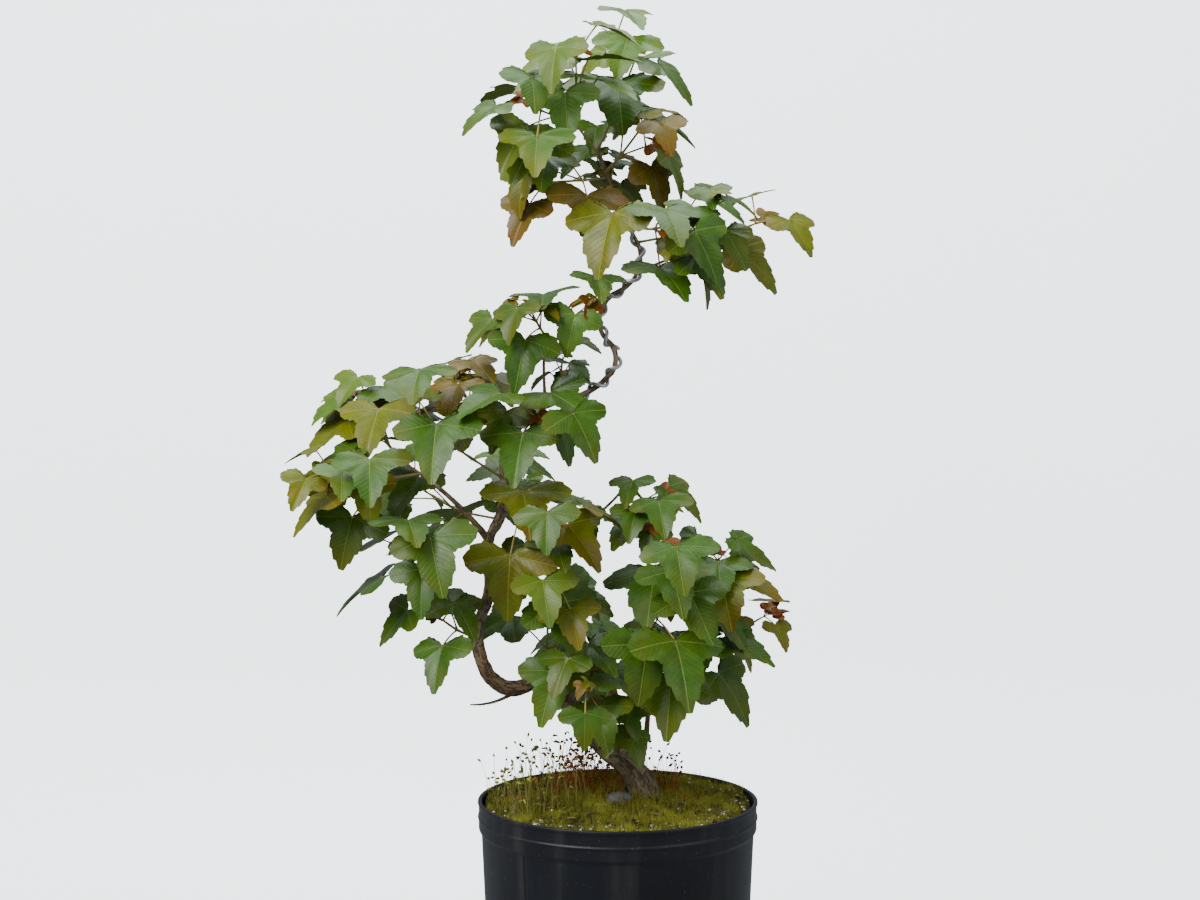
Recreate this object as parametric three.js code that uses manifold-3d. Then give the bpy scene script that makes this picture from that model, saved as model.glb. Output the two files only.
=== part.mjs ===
// A young trident maple trained in an S, wired, and growing in a black nursery pot with a mossy top.
// Millimetres, +Z up. The origin is the middle of the pot's underside. +X is the plant's right as it is
// shown, and +Y points away from its front. A heading is a compass angle (0 is +X, 90 is the back) and a
// climb, both in degrees.
import * as THREE from 'three';
import { mergeVertices } from 'three/addons/utils/BufferGeometryUtils.js';
import Module from 'manifold-3d';

const wasm = await Module();
wasm.setup();

const GAP = 0.3; // left between pieces that touch
const TIP = Infinity; // grows on from its limb's tip
const POT = {
  rimRadius: 82.5,
  height: 165,
  lip: 2.4,
  band: 18,
  ridge: 9.5,
  step: 1.6,
  footRadius: 73,
  wall: 1.8,
  floor: 2.5,
  corner: 4,
  sides: 26,
};
const SOIL_TOP = 157;
const MOSS = {
  edge: 162.5,
  crown: 169,
  x: 4,
  y: 6,
  spread: 40,
  lump: 1.1,
  cushion: 9,
  rings: 5,
  sides: 24,
};
const STONE = { length: 17, width: 12, height: 9, x: 1, y: -15, z: 167, turn: 12 };

// The trunk: its foot, and the bends that it makes on the way up. Each has its length and the lean that
// it ends at: from upright towards +X, with a swing towards the back.
const TRUNK_FOOT = { x: 15.2, y: 0, lean: 12, swing: -5, sunk: 5 };
const TRUNK_BENDS = [
  { length: 34, lean: -59, swing: 17 },
  { length: 46, lean: -31, swing: -2 },
  { length: 19, lean: -26, swing: -36 },
  { length: 18, lean: -134, swing: -34 },
  { length: 28, lean: -39, swing: -6 },
  { length: 24, lean: -4, swing: 13 },
  { length: 18, lean: 25, swing: 10 },
  { length: 25, lean: -15, swing: 9 },
  { length: 24, lean: 31, swing: 11 },
  { length: 33, lean: -8, swing: 7 },
  { length: 63, lean: 81, swing: 11 },
  { length: 34, lean: 42, swing: -5 },
  { length: 22, lean: -48, swing: -23 },
  { length: 37, lean: 68, swing: -18 },
  { length: 36, lean: -27, swing: 12 },
  { length: 37, lean: -24, swing: 9 },
  { length: 24, lean: -10, swing: 8 },
];
// How thick the trunk is at a length along it
const TRUNK_GIRTH = [
  { at: 0, thick: 26 },
  { at: 12, thick: 19 },
  { at: 28, thick: 14.5 },
  { at: 54, thick: 11.8 },
  { at: 140, thick: 9 },
  { at: 174, thick: 7.2 },
  { at: 279, thick: 6.2 },
  { at: 347, thick: 3.9 },
  { at: 452, thick: 2.7 },
  { at: 522, thick: 1.8 },
];
// The trunk is parted where it turns round a wide gap
const TRUNK_PARTS = [
  { name: 'trunk_foot', end: 100, sides: 11, stride: 7 },
  { name: 'trunk_bend', end: 172, sides: 9, stride: 5.5 },
  { name: 'trunk_rise', end: 282, sides: 8, stride: 7 },
  { name: 'trunk_sweep', end: 372, sides: 7, stride: 6 },
  { name: 'trunk_top', end: 522, sides: 6, stride: 7.5 },
];

// Each bough has the limb that it leaves and where, its heading at its foot and at its tip, its length,
// and how thick it is at each end. One that leaves at its limb's end carries on from the tip.
const BOUGHS = [
  { name: 'left_bough', on: 'trunk', at: 229,
    from: [208, 52], to: [183, 33], length: 64, thick: [4, 1.7] },
  { name: 'low_left_twig', on: 'trunk', at: 174,
    from: [212, 22], to: [200, 78], length: 31, thick: [2.4, 1.3] },
  { name: 'front_branch', on: 'trunk', at: 187,
    from: [-66, 64], to: [28, 18], length: 54, thick: [3.6, 2.4] },
  { name: 'right_bough', on: 'front_branch', at: TIP,
    from: [22, 14], to: [4, 52], length: 66, thick: [2.3, 1.4] },
  { name: 'low_right_bough', on: 'trunk', at: 92,
    from: [-30, 44], to: [-12, 30], length: 60, thick: [3.4, 1.7] },
  { name: 'basal_stem', on: 'trunk', at: 21,
    from: [20, 72], to: [60, 88], length: 42, thick: [4.4, 2.8] },
  { name: 'basal_bough', on: 'basal_stem', at: TIP,
    from: [10, 50], to: [4, 46], length: 50, thick: [2.4, 1.4] },
  { name: 'dead_twig', on: 'trunk', at: 126,
    from: [200, -38], to: [188, 4], length: 32, thick: [2.6, 0.9] },
  { name: 'middle_bough', on: 'trunk', at: 322,
    from: [-110, 76], to: [-50, 84], length: 42, thick: [2.2, 1.2] },
  { name: 'upper_right_bough', on: 'trunk', at: 443,
    from: [-22, 12], to: [-8, 34], length: 40, thick: [1.9, 1.2] },
];

// Two wires are wound round the trunk. Each climbs so far in a turn, and starts at an angle.
const WIRE = { thick: 2.3, bed: 1.05, stepsATurn: 7, sides: 5 };
const WIRES = [
  { name: 'lower_wire', from: 297, to: 377, climb: 14, angle: 188 },
  { name: 'upper_wire', from: 381, to: 474, climb: 15, angle: 20 },
];

// How shoots, leafstalks and blades grow
const SHOOT = { thick: 1.8, tipThick: 1.1, bare: 0.4, lift: 0.12, stray: 0.1, bud: 1.6 };
const STALK = {
  thick: 1.1,
  shortest: 0.5, // lengths, as shares of the blade's midrib
  longest: 0.95,
  out: 0.8,
  on: 0.45,
  up: 0.2,
  stray: 0.35,
  straightest: 0.1, // a stalk less in line than this with its midrib bends before the blade
  neck: 1.6,
};
const LIGHT = new THREE.Vector3(0, -0.6, 0.8); // where the blades turn their upper side
const BLADE = { thick: 1.1, droop: 0.2, fold: 0.14, stray: 0.4, heart: [0, 0.3] };
// Half of a blade's outline, for a midrib of length 1: how far out to the side and how far along it
const BLADE_HALF = [
  [0.26, -0.16], // shoulder
  [0.68, 0.16], // side lobe's tip
  [0.28, 0.44], // notch between the lobes
];
const BLADE_OUTLINE = [
  [0, 0],
  ...BLADE_HALF,
  [0, 1],
  ...BLADE_HALF.map(([out, on]) => [-out, on]).reverse(),
];
const CLEARANCE = 0.5; // kept between growing things
const SPACE_MARGIN = 1.6; // leaf lengths that a mass's space reaches past its stem
const LOWEST_GROWTH = 172;
const ATTEMPTS = 3;

// How finely the limbs are built, and the smallest step that a cut leaves in a surface
const FINEST = 0.04;
const BOUGH_BUILD = { sides: 6, stride: 10 };
const SLEEVE = { gap: 0.4, reach: 5, sides: 12, stride: 4 };

// Each mass of foliage: the limb it grows from and where, its stem's heading and length, how many pairs
// of leaves stand on it, the share of leaves with a side shoot, its longest midrib, and the seed of its
// draws
const MASSES = [
  { name: 'apex_leaves', on: 'trunk', at: TIP, heading: [35, 60],
    length: 66, nodes: 3, fork: 0.5, leaf: 38, seed: 8371 },
  { name: 'apex_left_leaves', on: 'trunk', at: 519, heading: [245, 25],
    length: 80, nodes: 4, fork: 0.3, leaf: 36, seed: 6830 },
  { name: 'apex_right_leaves', on: 'trunk', at: 507, heading: [335, 45],
    length: 36, nodes: 2, fork: 0.7, leaf: 32, seed: 9446 },
  { name: 'upper_left_leaves', on: 'trunk', at: 504, heading: [200, -5],
    length: 38, nodes: 2, fork: 0.6, leaf: 35, seed: 1927 },
  { name: 'upper_front_leaves', on: 'trunk', at: 478, heading: [295, -15],
    length: 80, nodes: 4, fork: 0.6, leaf: 36, seed: 6387 },
  { name: 'upper_right_inner_leaves', on: 'trunk', at: 460, heading: [335, 5],
    length: 60, nodes: 6, fork: 0.4, leaf: 31, seed: 6175 },
  { name: 'upper_right_outer_leaves', on: 'upper_right_bough', at: TIP, heading: [25, 15],
    length: 38, nodes: 2, fork: 0, leaf: 32, seed: 8427 },
  { name: 'bend_shoot_leaves', on: 'trunk', at: 410, heading: [240, 20],
    length: 22, nodes: 4, fork: 0.6, leaf: 23, seed: 5100 },
  { name: 'middle_shoot_leaves', on: 'middle_bough', at: TIP, heading: [250, 30],
    length: 20, nodes: 3, fork: 0.4, leaf: 29, seed: 1131 },
  { name: 'middle_back_leaves', on: 'trunk', at: 332, heading: [105, 60],
    length: 28, nodes: 3, fork: 0.4, leaf: 21, seed: 9261 },
  { name: 'left_top_leaves', on: 'trunk', at: 293, heading: [185, 35],
    length: 44, nodes: 6, fork: 0.6, leaf: 28, seed: 1474 },
  { name: 'left_outer_top_leaves', on: 'left_bough', at: TIP, heading: [145, 30],
    length: 54, nodes: 5, fork: 0.7, leaf: 30, seed: 2345 },
  { name: 'left_outer_low_leaves', on: 'left_bough', at: 57, heading: [195, -15],
    length: 54, nodes: 5, fork: 0.4, leaf: 31, seed: 5064 },
  { name: 'left_mid_leaves', on: 'trunk', at: 267, heading: [210, 30],
    length: 64, nodes: 3, fork: 0.1, leaf: 38, seed: 6784 },
  { name: 'left_front_leaves', on: 'low_left_twig', at: TIP, heading: [220, 35],
    length: 38, nodes: 4, fork: 0.2, leaf: 36, seed: 9983 },
  { name: 'low_left_leaves', on: 'trunk', at: 170, heading: [205, 20],
    length: 34, nodes: 3, fork: 0, leaf: 28, seed: 6413 },
  { name: 'centre_top_leaves', on: 'trunk', at: 305, heading: [285, -10],
    length: 36, nodes: 3, fork: 0.6, leaf: 35, seed: 4398 },
  { name: 'centre_leaves', on: 'trunk', at: 250, heading: [300, -10],
    length: 52, nodes: 4, fork: 0.4, leaf: 38, seed: 7686 },
  { name: 'centre_low_leaves', on: 'trunk', at: 200, heading: [330, 10],
    length: 44, nodes: 3, fork: 0.1, leaf: 31, seed: 8007 },
  { name: 'centre_right_leaves', on: 'trunk', at: 253, heading: [15, -10],
    length: 38, nodes: 2, fork: 0, leaf: 29, seed: 8384 },
  { name: 'right_mid_leaves', on: 'right_bough', at: TIP, heading: [315, -25],
    length: 30, nodes: 4, fork: 0.3, leaf: 27, seed: 5074 },
  { name: 'low_middle_leaves', on: 'trunk', at: 109, heading: [80, 60],
    length: 42, nodes: 2, fork: 0.2, leaf: 37, seed: 3238 },
  { name: 'right_top_leaves', on: 'basal_bough', at: TIP, heading: [320, 75],
    length: 50, nodes: 4, fork: 0.3, leaf: 33, seed: 4979 },
  { name: 'right_front_leaves', on: 'low_right_bough', at: TIP, heading: [305, 35],
    length: 48, nodes: 5, fork: 0.6, leaf: 39, seed: 4335 },
  { name: 'right_far_leaves', on: 'basal_bough', at: 44, heading: [20, 20],
    length: 48, nodes: 2, fork: 0.1, leaf: 26, seed: 1105 },
  { name: 'right_low_leaves', on: 'basal_stem', at: 37, heading: [325, 40],
    length: 62, nodes: 5, fork: 0.1, leaf: 35, seed: 3685 },
  { name: 'base_left_leaves', on: 'trunk', at: 86, heading: [285, 20],
    length: 52, nodes: 4, fork: 0.4, leaf: 30, seed: 2727 },
  { name: 'base_front_leaves', on: 'trunk', at: 37, heading: [290, 65],
    length: 32, nodes: 4, fork: 0.2, leaf: 21, seed: 292 },
  { name: 'back_low_leaves', on: 'trunk', at: 100, heading: [75, -5],
    length: 72, nodes: 5, fork: 0.3, leaf: 29, seed: 3700 },
  { name: 'back_middle_leaves', on: 'trunk', at: 257, heading: [90, 10],
    length: 70, nodes: 4, fork: 0.2, leaf: 25, seed: 853 },
  { name: 'back_left_leaves', on: 'trunk', at: 243, heading: [135, 5],
    length: 86, nodes: 5, fork: 0, leaf: 33, seed: 2753 },
  { name: 'back_top_leaves', on: 'trunk', at: 484, heading: [100, 45],
    length: 70, nodes: 4, fork: 0.4, leaf: 30, seed: 4094 },
];

const UP = new THREE.Vector3(0, 0, 1);
const DOWN = new THREE.Vector3(0, 0, -1);
const { lerp, degToRad } = THREE.MathUtils;
const along = (start, heading, distance) => start.clone().addScaledVector(heading, distance);

function headingOf([compass, climb]) {
  const level = Math.cos(degToRad(climb));
  return new THREE.Vector3(
    level * Math.cos(degToRad(compass)),
    level * Math.sin(degToRad(compass)),
    Math.sin(degToRad(climb)),
  );
}

// A run of points, read by the length along it
class Path {
  constructor(points) {
    this.points = points;
    this.ats = [0];
    for (let i = 1; i < points.length; i += 1) {
      this.ats.push(this.ats[i - 1] + points[i].distanceTo(points[i - 1]));
    }
    this.length = this.ats[this.ats.length - 1];
  }

  point(at) {
    let i = 1;
    while (i < this.points.length - 1 && this.ats[i] < at) i += 1;
    const share = (at - this.ats[i - 1]) / (this.ats[i] - this.ats[i - 1]);
    return this.points[i - 1].clone().lerp(this.points[i], share);
  }

  heading(at) {
    const reach = 1.5;
    return this.point(at + reach).sub(this.point(at - reach)).normalize();
  }
}

function trunkPath() {
  const strides = 16;
  const points = [new THREE.Vector3(TRUNK_FOOT.x, TRUNK_FOOT.y, SOIL_TOP + GAP)];
  let { lean, swing } = TRUNK_FOOT;
  for (const bend of TRUNK_BENDS) {
    for (let k = 0; k < strides; k += 1) {
      const share = (k + 0.5) / strides;
      const turned = degToRad(lerp(lean, bend.lean, share));
      const swung = degToRad(lerp(swing, bend.swing, share));
      const heading = new THREE.Vector3(
        Math.sin(turned) * Math.cos(swung),
        Math.sin(swung),
        Math.cos(turned) * Math.cos(swung),
      );
      points.push(along(points[points.length - 1], heading, bend.length / strides));
    }
    lean = bend.lean;
    swing = bend.swing;
  }
  return new Path(points);
}

function trunkRadius(at) {
  let i = 1;
  while (i < TRUNK_GIRTH.length - 1 && TRUNK_GIRTH[i].at < at) i += 1;
  const below = TRUNK_GIRTH[i - 1];
  const above = TRUNK_GIRTH[i];
  return lerp(below.thick, above.thick, (at - below.at) / (above.at - below.at)) / 2;
}

// A bough turns evenly from its first heading to its last
function boughPath(bough, start) {
  const strides = Math.round(bough.length / 3);
  const first = headingOf(bough.from);
  const last = headingOf(bough.to);
  const points = [start];
  for (let k = 0; k < strides; k += 1) {
    const heading = first.clone().lerp(last, (k + 0.5) / strides).normalize();
    points.push(along(points[k], heading, bough.length / strides));
  }
  return new Path(points);
}

// The middle of a limb at a length along it, or at its tip
const seatOn = ({ path }, at) => path.point(Math.min(at, path.length));

// Every limb by name, with its path and its radius at a length along it
function growLimbs() {
  const limbs = { trunk: { path: trunkPath(), radius: trunkRadius } };
  for (const bough of BOUGHS) {
    const parent = limbs[bough.on];
    const path = boughPath(bough, seatOn(parent, bough.at));
    const radius = (at) => lerp(bough.thick[0], bough.thick[1], at / path.length) / 2;
    limbs[bough.name] = { path, radius, parent };
  }
  for (const limb of Object.values(limbs)) limb.shapes = limbShapes(limb.path, limb.radius, 6);
  return limbs;
}

// A wire's path winds round the trunk, bedded on its bark
function wirePath(wire, trunk) {
  const steps = Math.round(((wire.to - wire.from) / wire.climb) * WIRE.stepsATurn);
  const points = [];
  let side = new THREE.Vector3(1, 0, 0);
  for (let k = 0; k <= steps; k += 1) {
    const at = lerp(wire.from, wire.to, k / steps);
    const heading = trunk.path.heading(at);
    side = along(side, heading, -side.dot(heading)).normalize();
    const turned = degToRad(wire.angle) + (2 * Math.PI * k) / WIRE.stepsATurn;
    const out = side.clone().applyAxisAngle(heading, turned);
    points.push(along(trunk.path.point(at), out, trunk.radius(at) + WIRE.bed + WIRE.thick / 2));
  }
  return new Path(points);
}

// A place on a blade: the sheet rises from its midrib to the sides and droops towards its tips
function bladePoint(leaf, [out, on]) {
  const rise = BLADE.fold * Math.abs(out) - BLADE.droop * (on * on + out * out);
  return leaf.base
    .clone()
    .addScaledVector(leaf.side, out * leaf.size)
    .addScaledVector(leaf.midrib, on * leaf.size)
    .addScaledVector(leaf.face, rise * leaf.size);
}

// What growth keeps clear of: points, the edges between them, faces, and how thick they are
function shapeOf(points, edges, faces, thick) {
  const ball = new THREE.Sphere().setFromPoints(points);
  return { points, edges, faces, thick, centre: ball.center, reach: ball.radius + thick };
}

function stickShape(start, end, radius) {
  return shapeOf([start, end], [new THREE.Line3(start, end)], [], radius);
}

function bladeShape(leaf) {
  const heart = bladePoint(leaf, BLADE.heart);
  const rim = BLADE_OUTLINE.map((place) => bladePoint(leaf, place));
  const next = (i) => rim[(i + 1) % rim.length];
  const line = (from, to) => new THREE.Line3(from, to);
  const edges = rim.flatMap((point, i) => [line(point, next(i)), line(point, heart)]);
  const faces = rim.map((point, i) => new THREE.Triangle(point, next(i), heart));
  return shapeOf([...rim, heart], edges, faces, BLADE.thick / 2);
}

// Whether one shape's points come near the other's faces, or its edges go through them
function meetsFaces(shape, other, clear) {
  const spot = new THREE.Vector3();
  const plane = new THREE.Plane();
  return other.faces.some((face) => {
    face.getPlane(plane);
    const close = (point) => Math.abs(plane.distanceToPoint(point)) < clear
      && face.closestPointToPoint(point, spot).distanceTo(point) < clear;
    const through = (edge) => plane.intersectLine(edge, spot) !== null && face.containsPoint(spot);
    return shape.points.some(close) || shape.edges.some(through);
  });
}

function tooNear(shape, other) {
  const clear = shape.thick + other.thick + CLEARANCE;
  if (shape.centre.distanceTo(other.centre) > shape.reach + other.reach + CLEARANCE) return false;
  const one = new THREE.Vector3();
  const two = new THREE.Vector3();
  const close = (edge, near) => edge.distanceSqToLine3(near, one, two) < clear * clear;
  return shape.edges.some((edge) => other.edges.some((near) => close(edge, near)))
    || meetsFaces(shape, other, clear)
    || meetsFaces(other, shape, clear);
}

// A limb's or a wire's shapes, one for each stretch
function limbShapes(path, radiusAt, stretch) {
  const count = Math.ceil(path.length / stretch);
  const shapes = [];
  for (let k = 0; k < count; k += 1) {
    const start = path.point((path.length * k) / count);
    const end = path.point((path.length * (k + 1)) / count);
    shapes.push(stickShape(start, end, radiusAt((path.length * k) / count)));
  }
  return shapes;
}

// Draws from 0 to 1, the same each time for a run of whole marks
function seededDraws(...marks) {
  let state = marks.reduce((mixed, mark) => (Math.imul(mixed ^ mark, 2654435761) + 1) >>> 0, 0);
  return () => {
    state = (Math.imul(state, 1664525) + 1013904223) >>> 0;
    return state / 2 ** 32;
  };
}

// A heading turned at random by up to some amount
function strayed(heading, amount, draw) {
  const stray = new THREE.Vector3(draw() - 0.5, draw() - 0.5, draw() - 0.5);
  return along(heading, stray, 2 * amount).normalize();
}

// One leaf at a node: its stalk goes out and up, and its blade turns to the light and hangs
function placeLeaf(node, out, size, draw) {
  const lead = along(node.heading.clone().multiplyScalar(STALK.on), out, STALK.out);
  const reach = strayed(along(lead, UP, STALK.up), STALK.stray, draw);
  const base = along(node.point, reach, size * lerp(STALK.shortest, STALK.longest, draw()));
  const face = strayed(along(LIGHT, reach, 0.5), BLADE.stray, draw);
  const hang = along(reach.clone().multiplyScalar(0.5), DOWN, 0.8);
  const midrib = along(hang, face, -hang.dot(face)).normalize();
  const side = midrib.clone().cross(face).normalize();
  return { root: node.point, reach, base, size, face, midrib, side };
}

// The side shoot in a leaf's axil
function sideShoot(shoot, k, turn, node, out, mass, draw) {
  return {
    point: node.point,
    heading: along(along(node.heading, out, 0.75), UP, 0.25).normalize(),
    length: mass.length * lerp(0.4, 0.65, draw()),
    nodes: Math.max(1, shoot.nodes - 1 - k),
    order: 1,
    mark: 1 + 2 * k + turn,
  };
}

// Grows one mass of foliage from a limb by a seeded rule. Leaves stand in pairs, each pair a quarter turn
// on from the last, with side shoots above them. What would leave the mass's space or touch anything is
// skipped.
function growMass(mass, limb, obstacles) {
  const first = headingOf(mass.heading);
  const seat = seatOn(limb, mass.at);
  const bark = limb.radius(Math.min(mass.at, limb.path.length));
  const centre = along(seat, first, mass.length / 2);
  const space = mass.length / 2 + mass.leaf * SPACE_MARGIN;
  const near = obstacles.filter((other) => other.centre.distanceTo(centre) < space + other.reach);
  const strangers = near.filter((other) => !limb.shapes.includes(other));
  const grown = { shoots: [], leaves: [], shapes: [] };
  const inside = (point) => point.distanceTo(centre) < space && point.z > LOWEST_GROWTH;
  const fits = (shape) => shape.points.every(inside)
    && !near.some((other) => tooNear(shape, other))
    && !grown.shapes.some((other) => tooNear(shape, other));
  const out = (distance) => along(seat, first, distance);
  const stem = stickShape(out(bark + CLEARANCE), out(3 * bark), SHOOT.thick / 2);
  if (strangers.some((other) => tooNear(stem, other))) return grown;
  const { length, nodes } = mass;
  const shoots = [{ point: seat, heading: first, length, nodes, order: 0, mark: 0 }];
  while (shoots.length > 0) {
    const shoot = shoots.shift();
    const draw = seededDraws(mass.seed, shoot.mark);
    const node = { point: shoot.point, heading: shoot.heading };
    const roll = draw() * Math.PI;
    const rings = [{ point: node.point, radius: SHOOT.thick / (2 + shoot.order) }];
    grown.shoots.push(rings);
    for (let k = 0; k < shoot.nodes; k += 1) {
      const bare = shoot.nodes > 1 ? SHOOT.bare : 1;
      const step = shoot.length * (k === 0 ? bare : (1 - bare) / (shoot.nodes - 1));
      const radius = lerp(SHOOT.thick, SHOOT.tipThick, (k + shoot.order) / (shoot.nodes + 1)) / 2;
      node.heading = strayed(along(node.heading, UP, k === 0 ? 0 : SHOOT.lift), SHOOT.stray, draw);
      const end = along(node.point, node.heading, step);
      const free = [2.4 * bark + 2.5, 2 * radius + 3][shoot.order];
      const start = along(node.point, node.heading, k === 0 ? free : step / 2);
      if (!fits(stickShape(start, end, radius))) break;
      rings.push({ point: end, radius });
      grown.shapes.push(stickShape(node.point, end, radius));
      node.point = end;
      const level = new THREE.Vector3().crossVectors(UP, node.heading).normalize();
      for (const turn of [0, 1]) {
        const own = seededDraws(mass.seed, shoot.mark, k + 1, turn);
        const side = level.clone().applyAxisAngle(node.heading, roll + Math.PI * (k / 2 + turn));
        const dwindled = (1 - (0.3 * k) / shoot.nodes) * (1 - 0.12 * shoot.order);
        const size = mass.leaf * dwindled * lerp(0.75, 1.1, own());
        const forks = shoot.order === 0 && k < shoot.nodes - 1 && own() < mass.fork;
        if (forks) shoots.push(sideShoot(shoot, k, turn, node, side, mass, own));
        for (let attempt = 0; attempt < ATTEMPTS; attempt += 1) {
          const leaf = placeLeaf(node, side, size, own);
          const foot = along(leaf.root, leaf.reach, 2 * radius + 2);
          const stalk = stickShape(foot, leaf.base, STALK.thick / 2);
          const blade = bladeShape(leaf);
          if (fits(stalk) && fits(blade)) {
            grown.leaves.push(leaf);
            grown.shapes.push(stalk, blade);
            break;
          }
        }
      }
    }
    rings[rings.length - 1].point = along(node.point, node.heading, SHOOT.bud);
  }
  return grown;
}

// A geometry with only its places, and its shared corners merged
function bare(geometry) {
  geometry.deleteAttribute('uv');
  geometry.deleteAttribute('normal');
  const merged = mergeVertices(geometry, 1e-4);
  const index = [];
  for (let i = 0; i < merged.index.count; i += 3) {
    const [a, b, c] = [0, 1, 2].map((k) => merged.index.getX(i + k));
    if (a !== b && b !== c && c !== a) index.push(a, b, c);
  }
  return merged.setIndex(index);
}

function solidOf(geometry) {
  const merged = bare(geometry);
  return new wasm.Manifold(new wasm.Mesh({
    numProp: 3,
    vertProperties: Float32Array.from(merged.attributes.position.array),
    triVerts: Uint32Array.from(merged.index.array),
  }));
}

// A solid's geometry, of which only the largest shell is kept: a pocket closed in where stalks and
// shoots meet is filled, and a sliver that a seat cuts off is dropped
function geometryOf(solid) {
  const { vertProperties, triVerts } = solid.getMesh();
  const geometry = new THREE.BufferGeometry();
  const places = new THREE.BufferAttribute(vertProperties, 3);
  const corner = (i) => new THREE.Vector3().fromBufferAttribute(places, triVerts[i]);
  const linked = Array.from({ length: places.count }, (_, i) => i);
  const shellOf = (vertex) => {
    let shell = vertex;
    while (linked[shell] !== shell) shell = linked[shell];
    return shell;
  };
  for (let i = 0; i < triVerts.length; i += 3) {
    linked[shellOf(triVerts[i + 1])] = shellOf(triVerts[i]);
    linked[shellOf(triVerts[i + 2])] = shellOf(triVerts[i]);
  }
  const volumes = new Map();
  for (let i = 0; i < triVerts.length; i += 3) {
    const shell = shellOf(triVerts[i]);
    const volume = corner(i).dot(corner(i + 1).cross(corner(i + 2)));
    volumes.set(shell, (volumes.get(shell) ?? 0) + volume);
  }
  const most = Math.max(...volumes.values());
  geometry.setAttribute('position', places);
  geometry.setIndex([...triVerts].filter((vertex) => volumes.get(shellOf(vertex)) === most));
  return geometry;
}

// A closed round bar through rings, each with its middle, its radius and, where it matters, its heading
function barThrough(rings, sides) {
  const last = rings.length - 1;
  const geometry = bare(new THREE.CylinderGeometry(1, 1, 1, sides, last));
  let side = new THREE.Vector3(0, 1, 0);
  const frames = rings.map(({ point, radius }, k) => {
    const before = rings[Math.max(0, k - 1)].point;
    const after = rings[Math.min(last, k + 1)].point;
    const heading = rings[k].heading ?? after.clone().sub(before).normalize();
    side = along(side, heading, -side.dot(heading)).normalize();
    return { point, radius, side, across: side.clone().cross(heading) };
  });
  const places = geometry.attributes.position;
  for (let i = 0; i < places.count; i += 1) {
    const frame = frames[Math.round((places.getY(i) + 0.5) * last)];
    const place = along(frame.point, frame.side, places.getX(i) * frame.radius);
    places.setXYZ(i, ...along(place, frame.across, places.getZ(i) * frame.radius));
  }
  return geometry;
}

// A bar along a stretch of a path, its radius worked out at each ring
function bar(path, radiusAt, { from = 0, to = path.length, sides, stride }) {
  const count = Math.max(1, Math.round((to - from) / stride));
  const rings = [];
  for (let k = 0; k <= count; k += 1) {
    const at = lerp(from, to, k / count);
    rings.push({ point: path.point(at), radius: radiusAt(at), heading: path.heading(at) });
  }
  return barThrough(rings, sides);
}

// A limb's own bark, let out a little, that cuts a seat for what grows from its side or its tip
function sleeve({ path, radius }, at, gap = SLEEVE.gap) {
  const spot = Math.min(at, path.length);
  const reach = 3 * radius(spot) + SLEEVE.reach;
  const from = Math.max(-TRUNK_FOOT.sunk, spot - reach);
  const to = Math.min(path.length + GAP, spot + reach);
  const roundness = Math.cos(Math.PI / SLEEVE.sides);
  return solidOf(bar(path, (there) => (radius(there) + gap) / roundness, { ...SLEEVE, from, to }));
}

// The three corners of a leafstalk where it heads a given way
function stalkRing(middle, heading, side) {
  const half = STALK.thick / 2;
  const out = along(side, heading, -side.dot(heading)).normalize();
  const up = out.clone().cross(heading);
  return [along(middle, out, half), along(middle, up, -half), along(middle, out, -half)];
}

// A leaf as one thin closed body: a three-sided stalk from its shoot, and a lens-shaped blade that widens
// out of its end. A stalk that reaches its blade at a sharp angle bends just before it.
function leafSolid(leaf) {
  const rings = [stalkRing(leaf.base, leaf.midrib, leaf.side)];
  if (leaf.reach.dot(leaf.midrib) < STALK.straightest) {
    const elbow = along(leaf.base, leaf.midrib, -STALK.neck);
    const halfway = leaf.reach.clone().add(leaf.midrib).normalize();
    rings.unshift(stalkRing(elbow, halfway, leaf.side));
    rings.unshift(stalkRing(leaf.root, leaf.reach, leaf.side));
  } else {
    rings.unshift(stalkRing(leaf.root, leaf.midrib, leaf.side));
  }
  const rim = BLADE_OUTLINE.slice(1).map((place) => bladePoint(leaf, place));
  const heart = bladePoint(leaf, BLADE.heart);
  const ridges = [along(heart, leaf.face, BLADE.thick / 2), along(heart, leaf.face, -BLADE.thick / 2)];
  const points = [...rings.flat(), ...rim, ...ridges];
  const base = 3 * (rings.length - 1);
  const [right, low, left] = [base, base + 1, base + 2];
  const edge = [right, ...rim.keys().map((i) => i + base + 3), left];
  const [over, under] = [points.length - 2, points.length - 1];
  const index = [0, 2, 1, left, right, over, right, low, under, low, left, under];
  for (let i = 0; i + 1 < edge.length; i += 1) {
    index.push(edge[i], edge[i + 1], over, edge[i + 1], edge[i], under);
  }
  for (let ring = 0; ring < base; ring += 3) {
    for (const [a, b] of [[0, 1], [1, 2], [2, 0]]) {
      index.push(ring + a, ring + b, ring + b + 3, ring + a, ring + b + 3, ring + a + 3);
    }
  }
  const geometry = new THREE.BufferGeometry().setFromPoints(points);
  geometry.setIndex(index);
  return solidOf(geometry);
}

// One mass's shoots and leaves, fused, with a seat where it meets its limb
function fuseMass(grown, limb, at) {
  const shoots = grown.shoots.filter((rings) => rings.length > 1);
  const stems = shoots.map((rings) => solidOf(barThrough(rings, 3)));
  const parts = [...stems, ...grown.leaves.map(leafSolid)];
  return parts.reduce((whole, part) => whole.add(part)).subtract(sleeve(limb, at)).simplify(FINEST);
}

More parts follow.
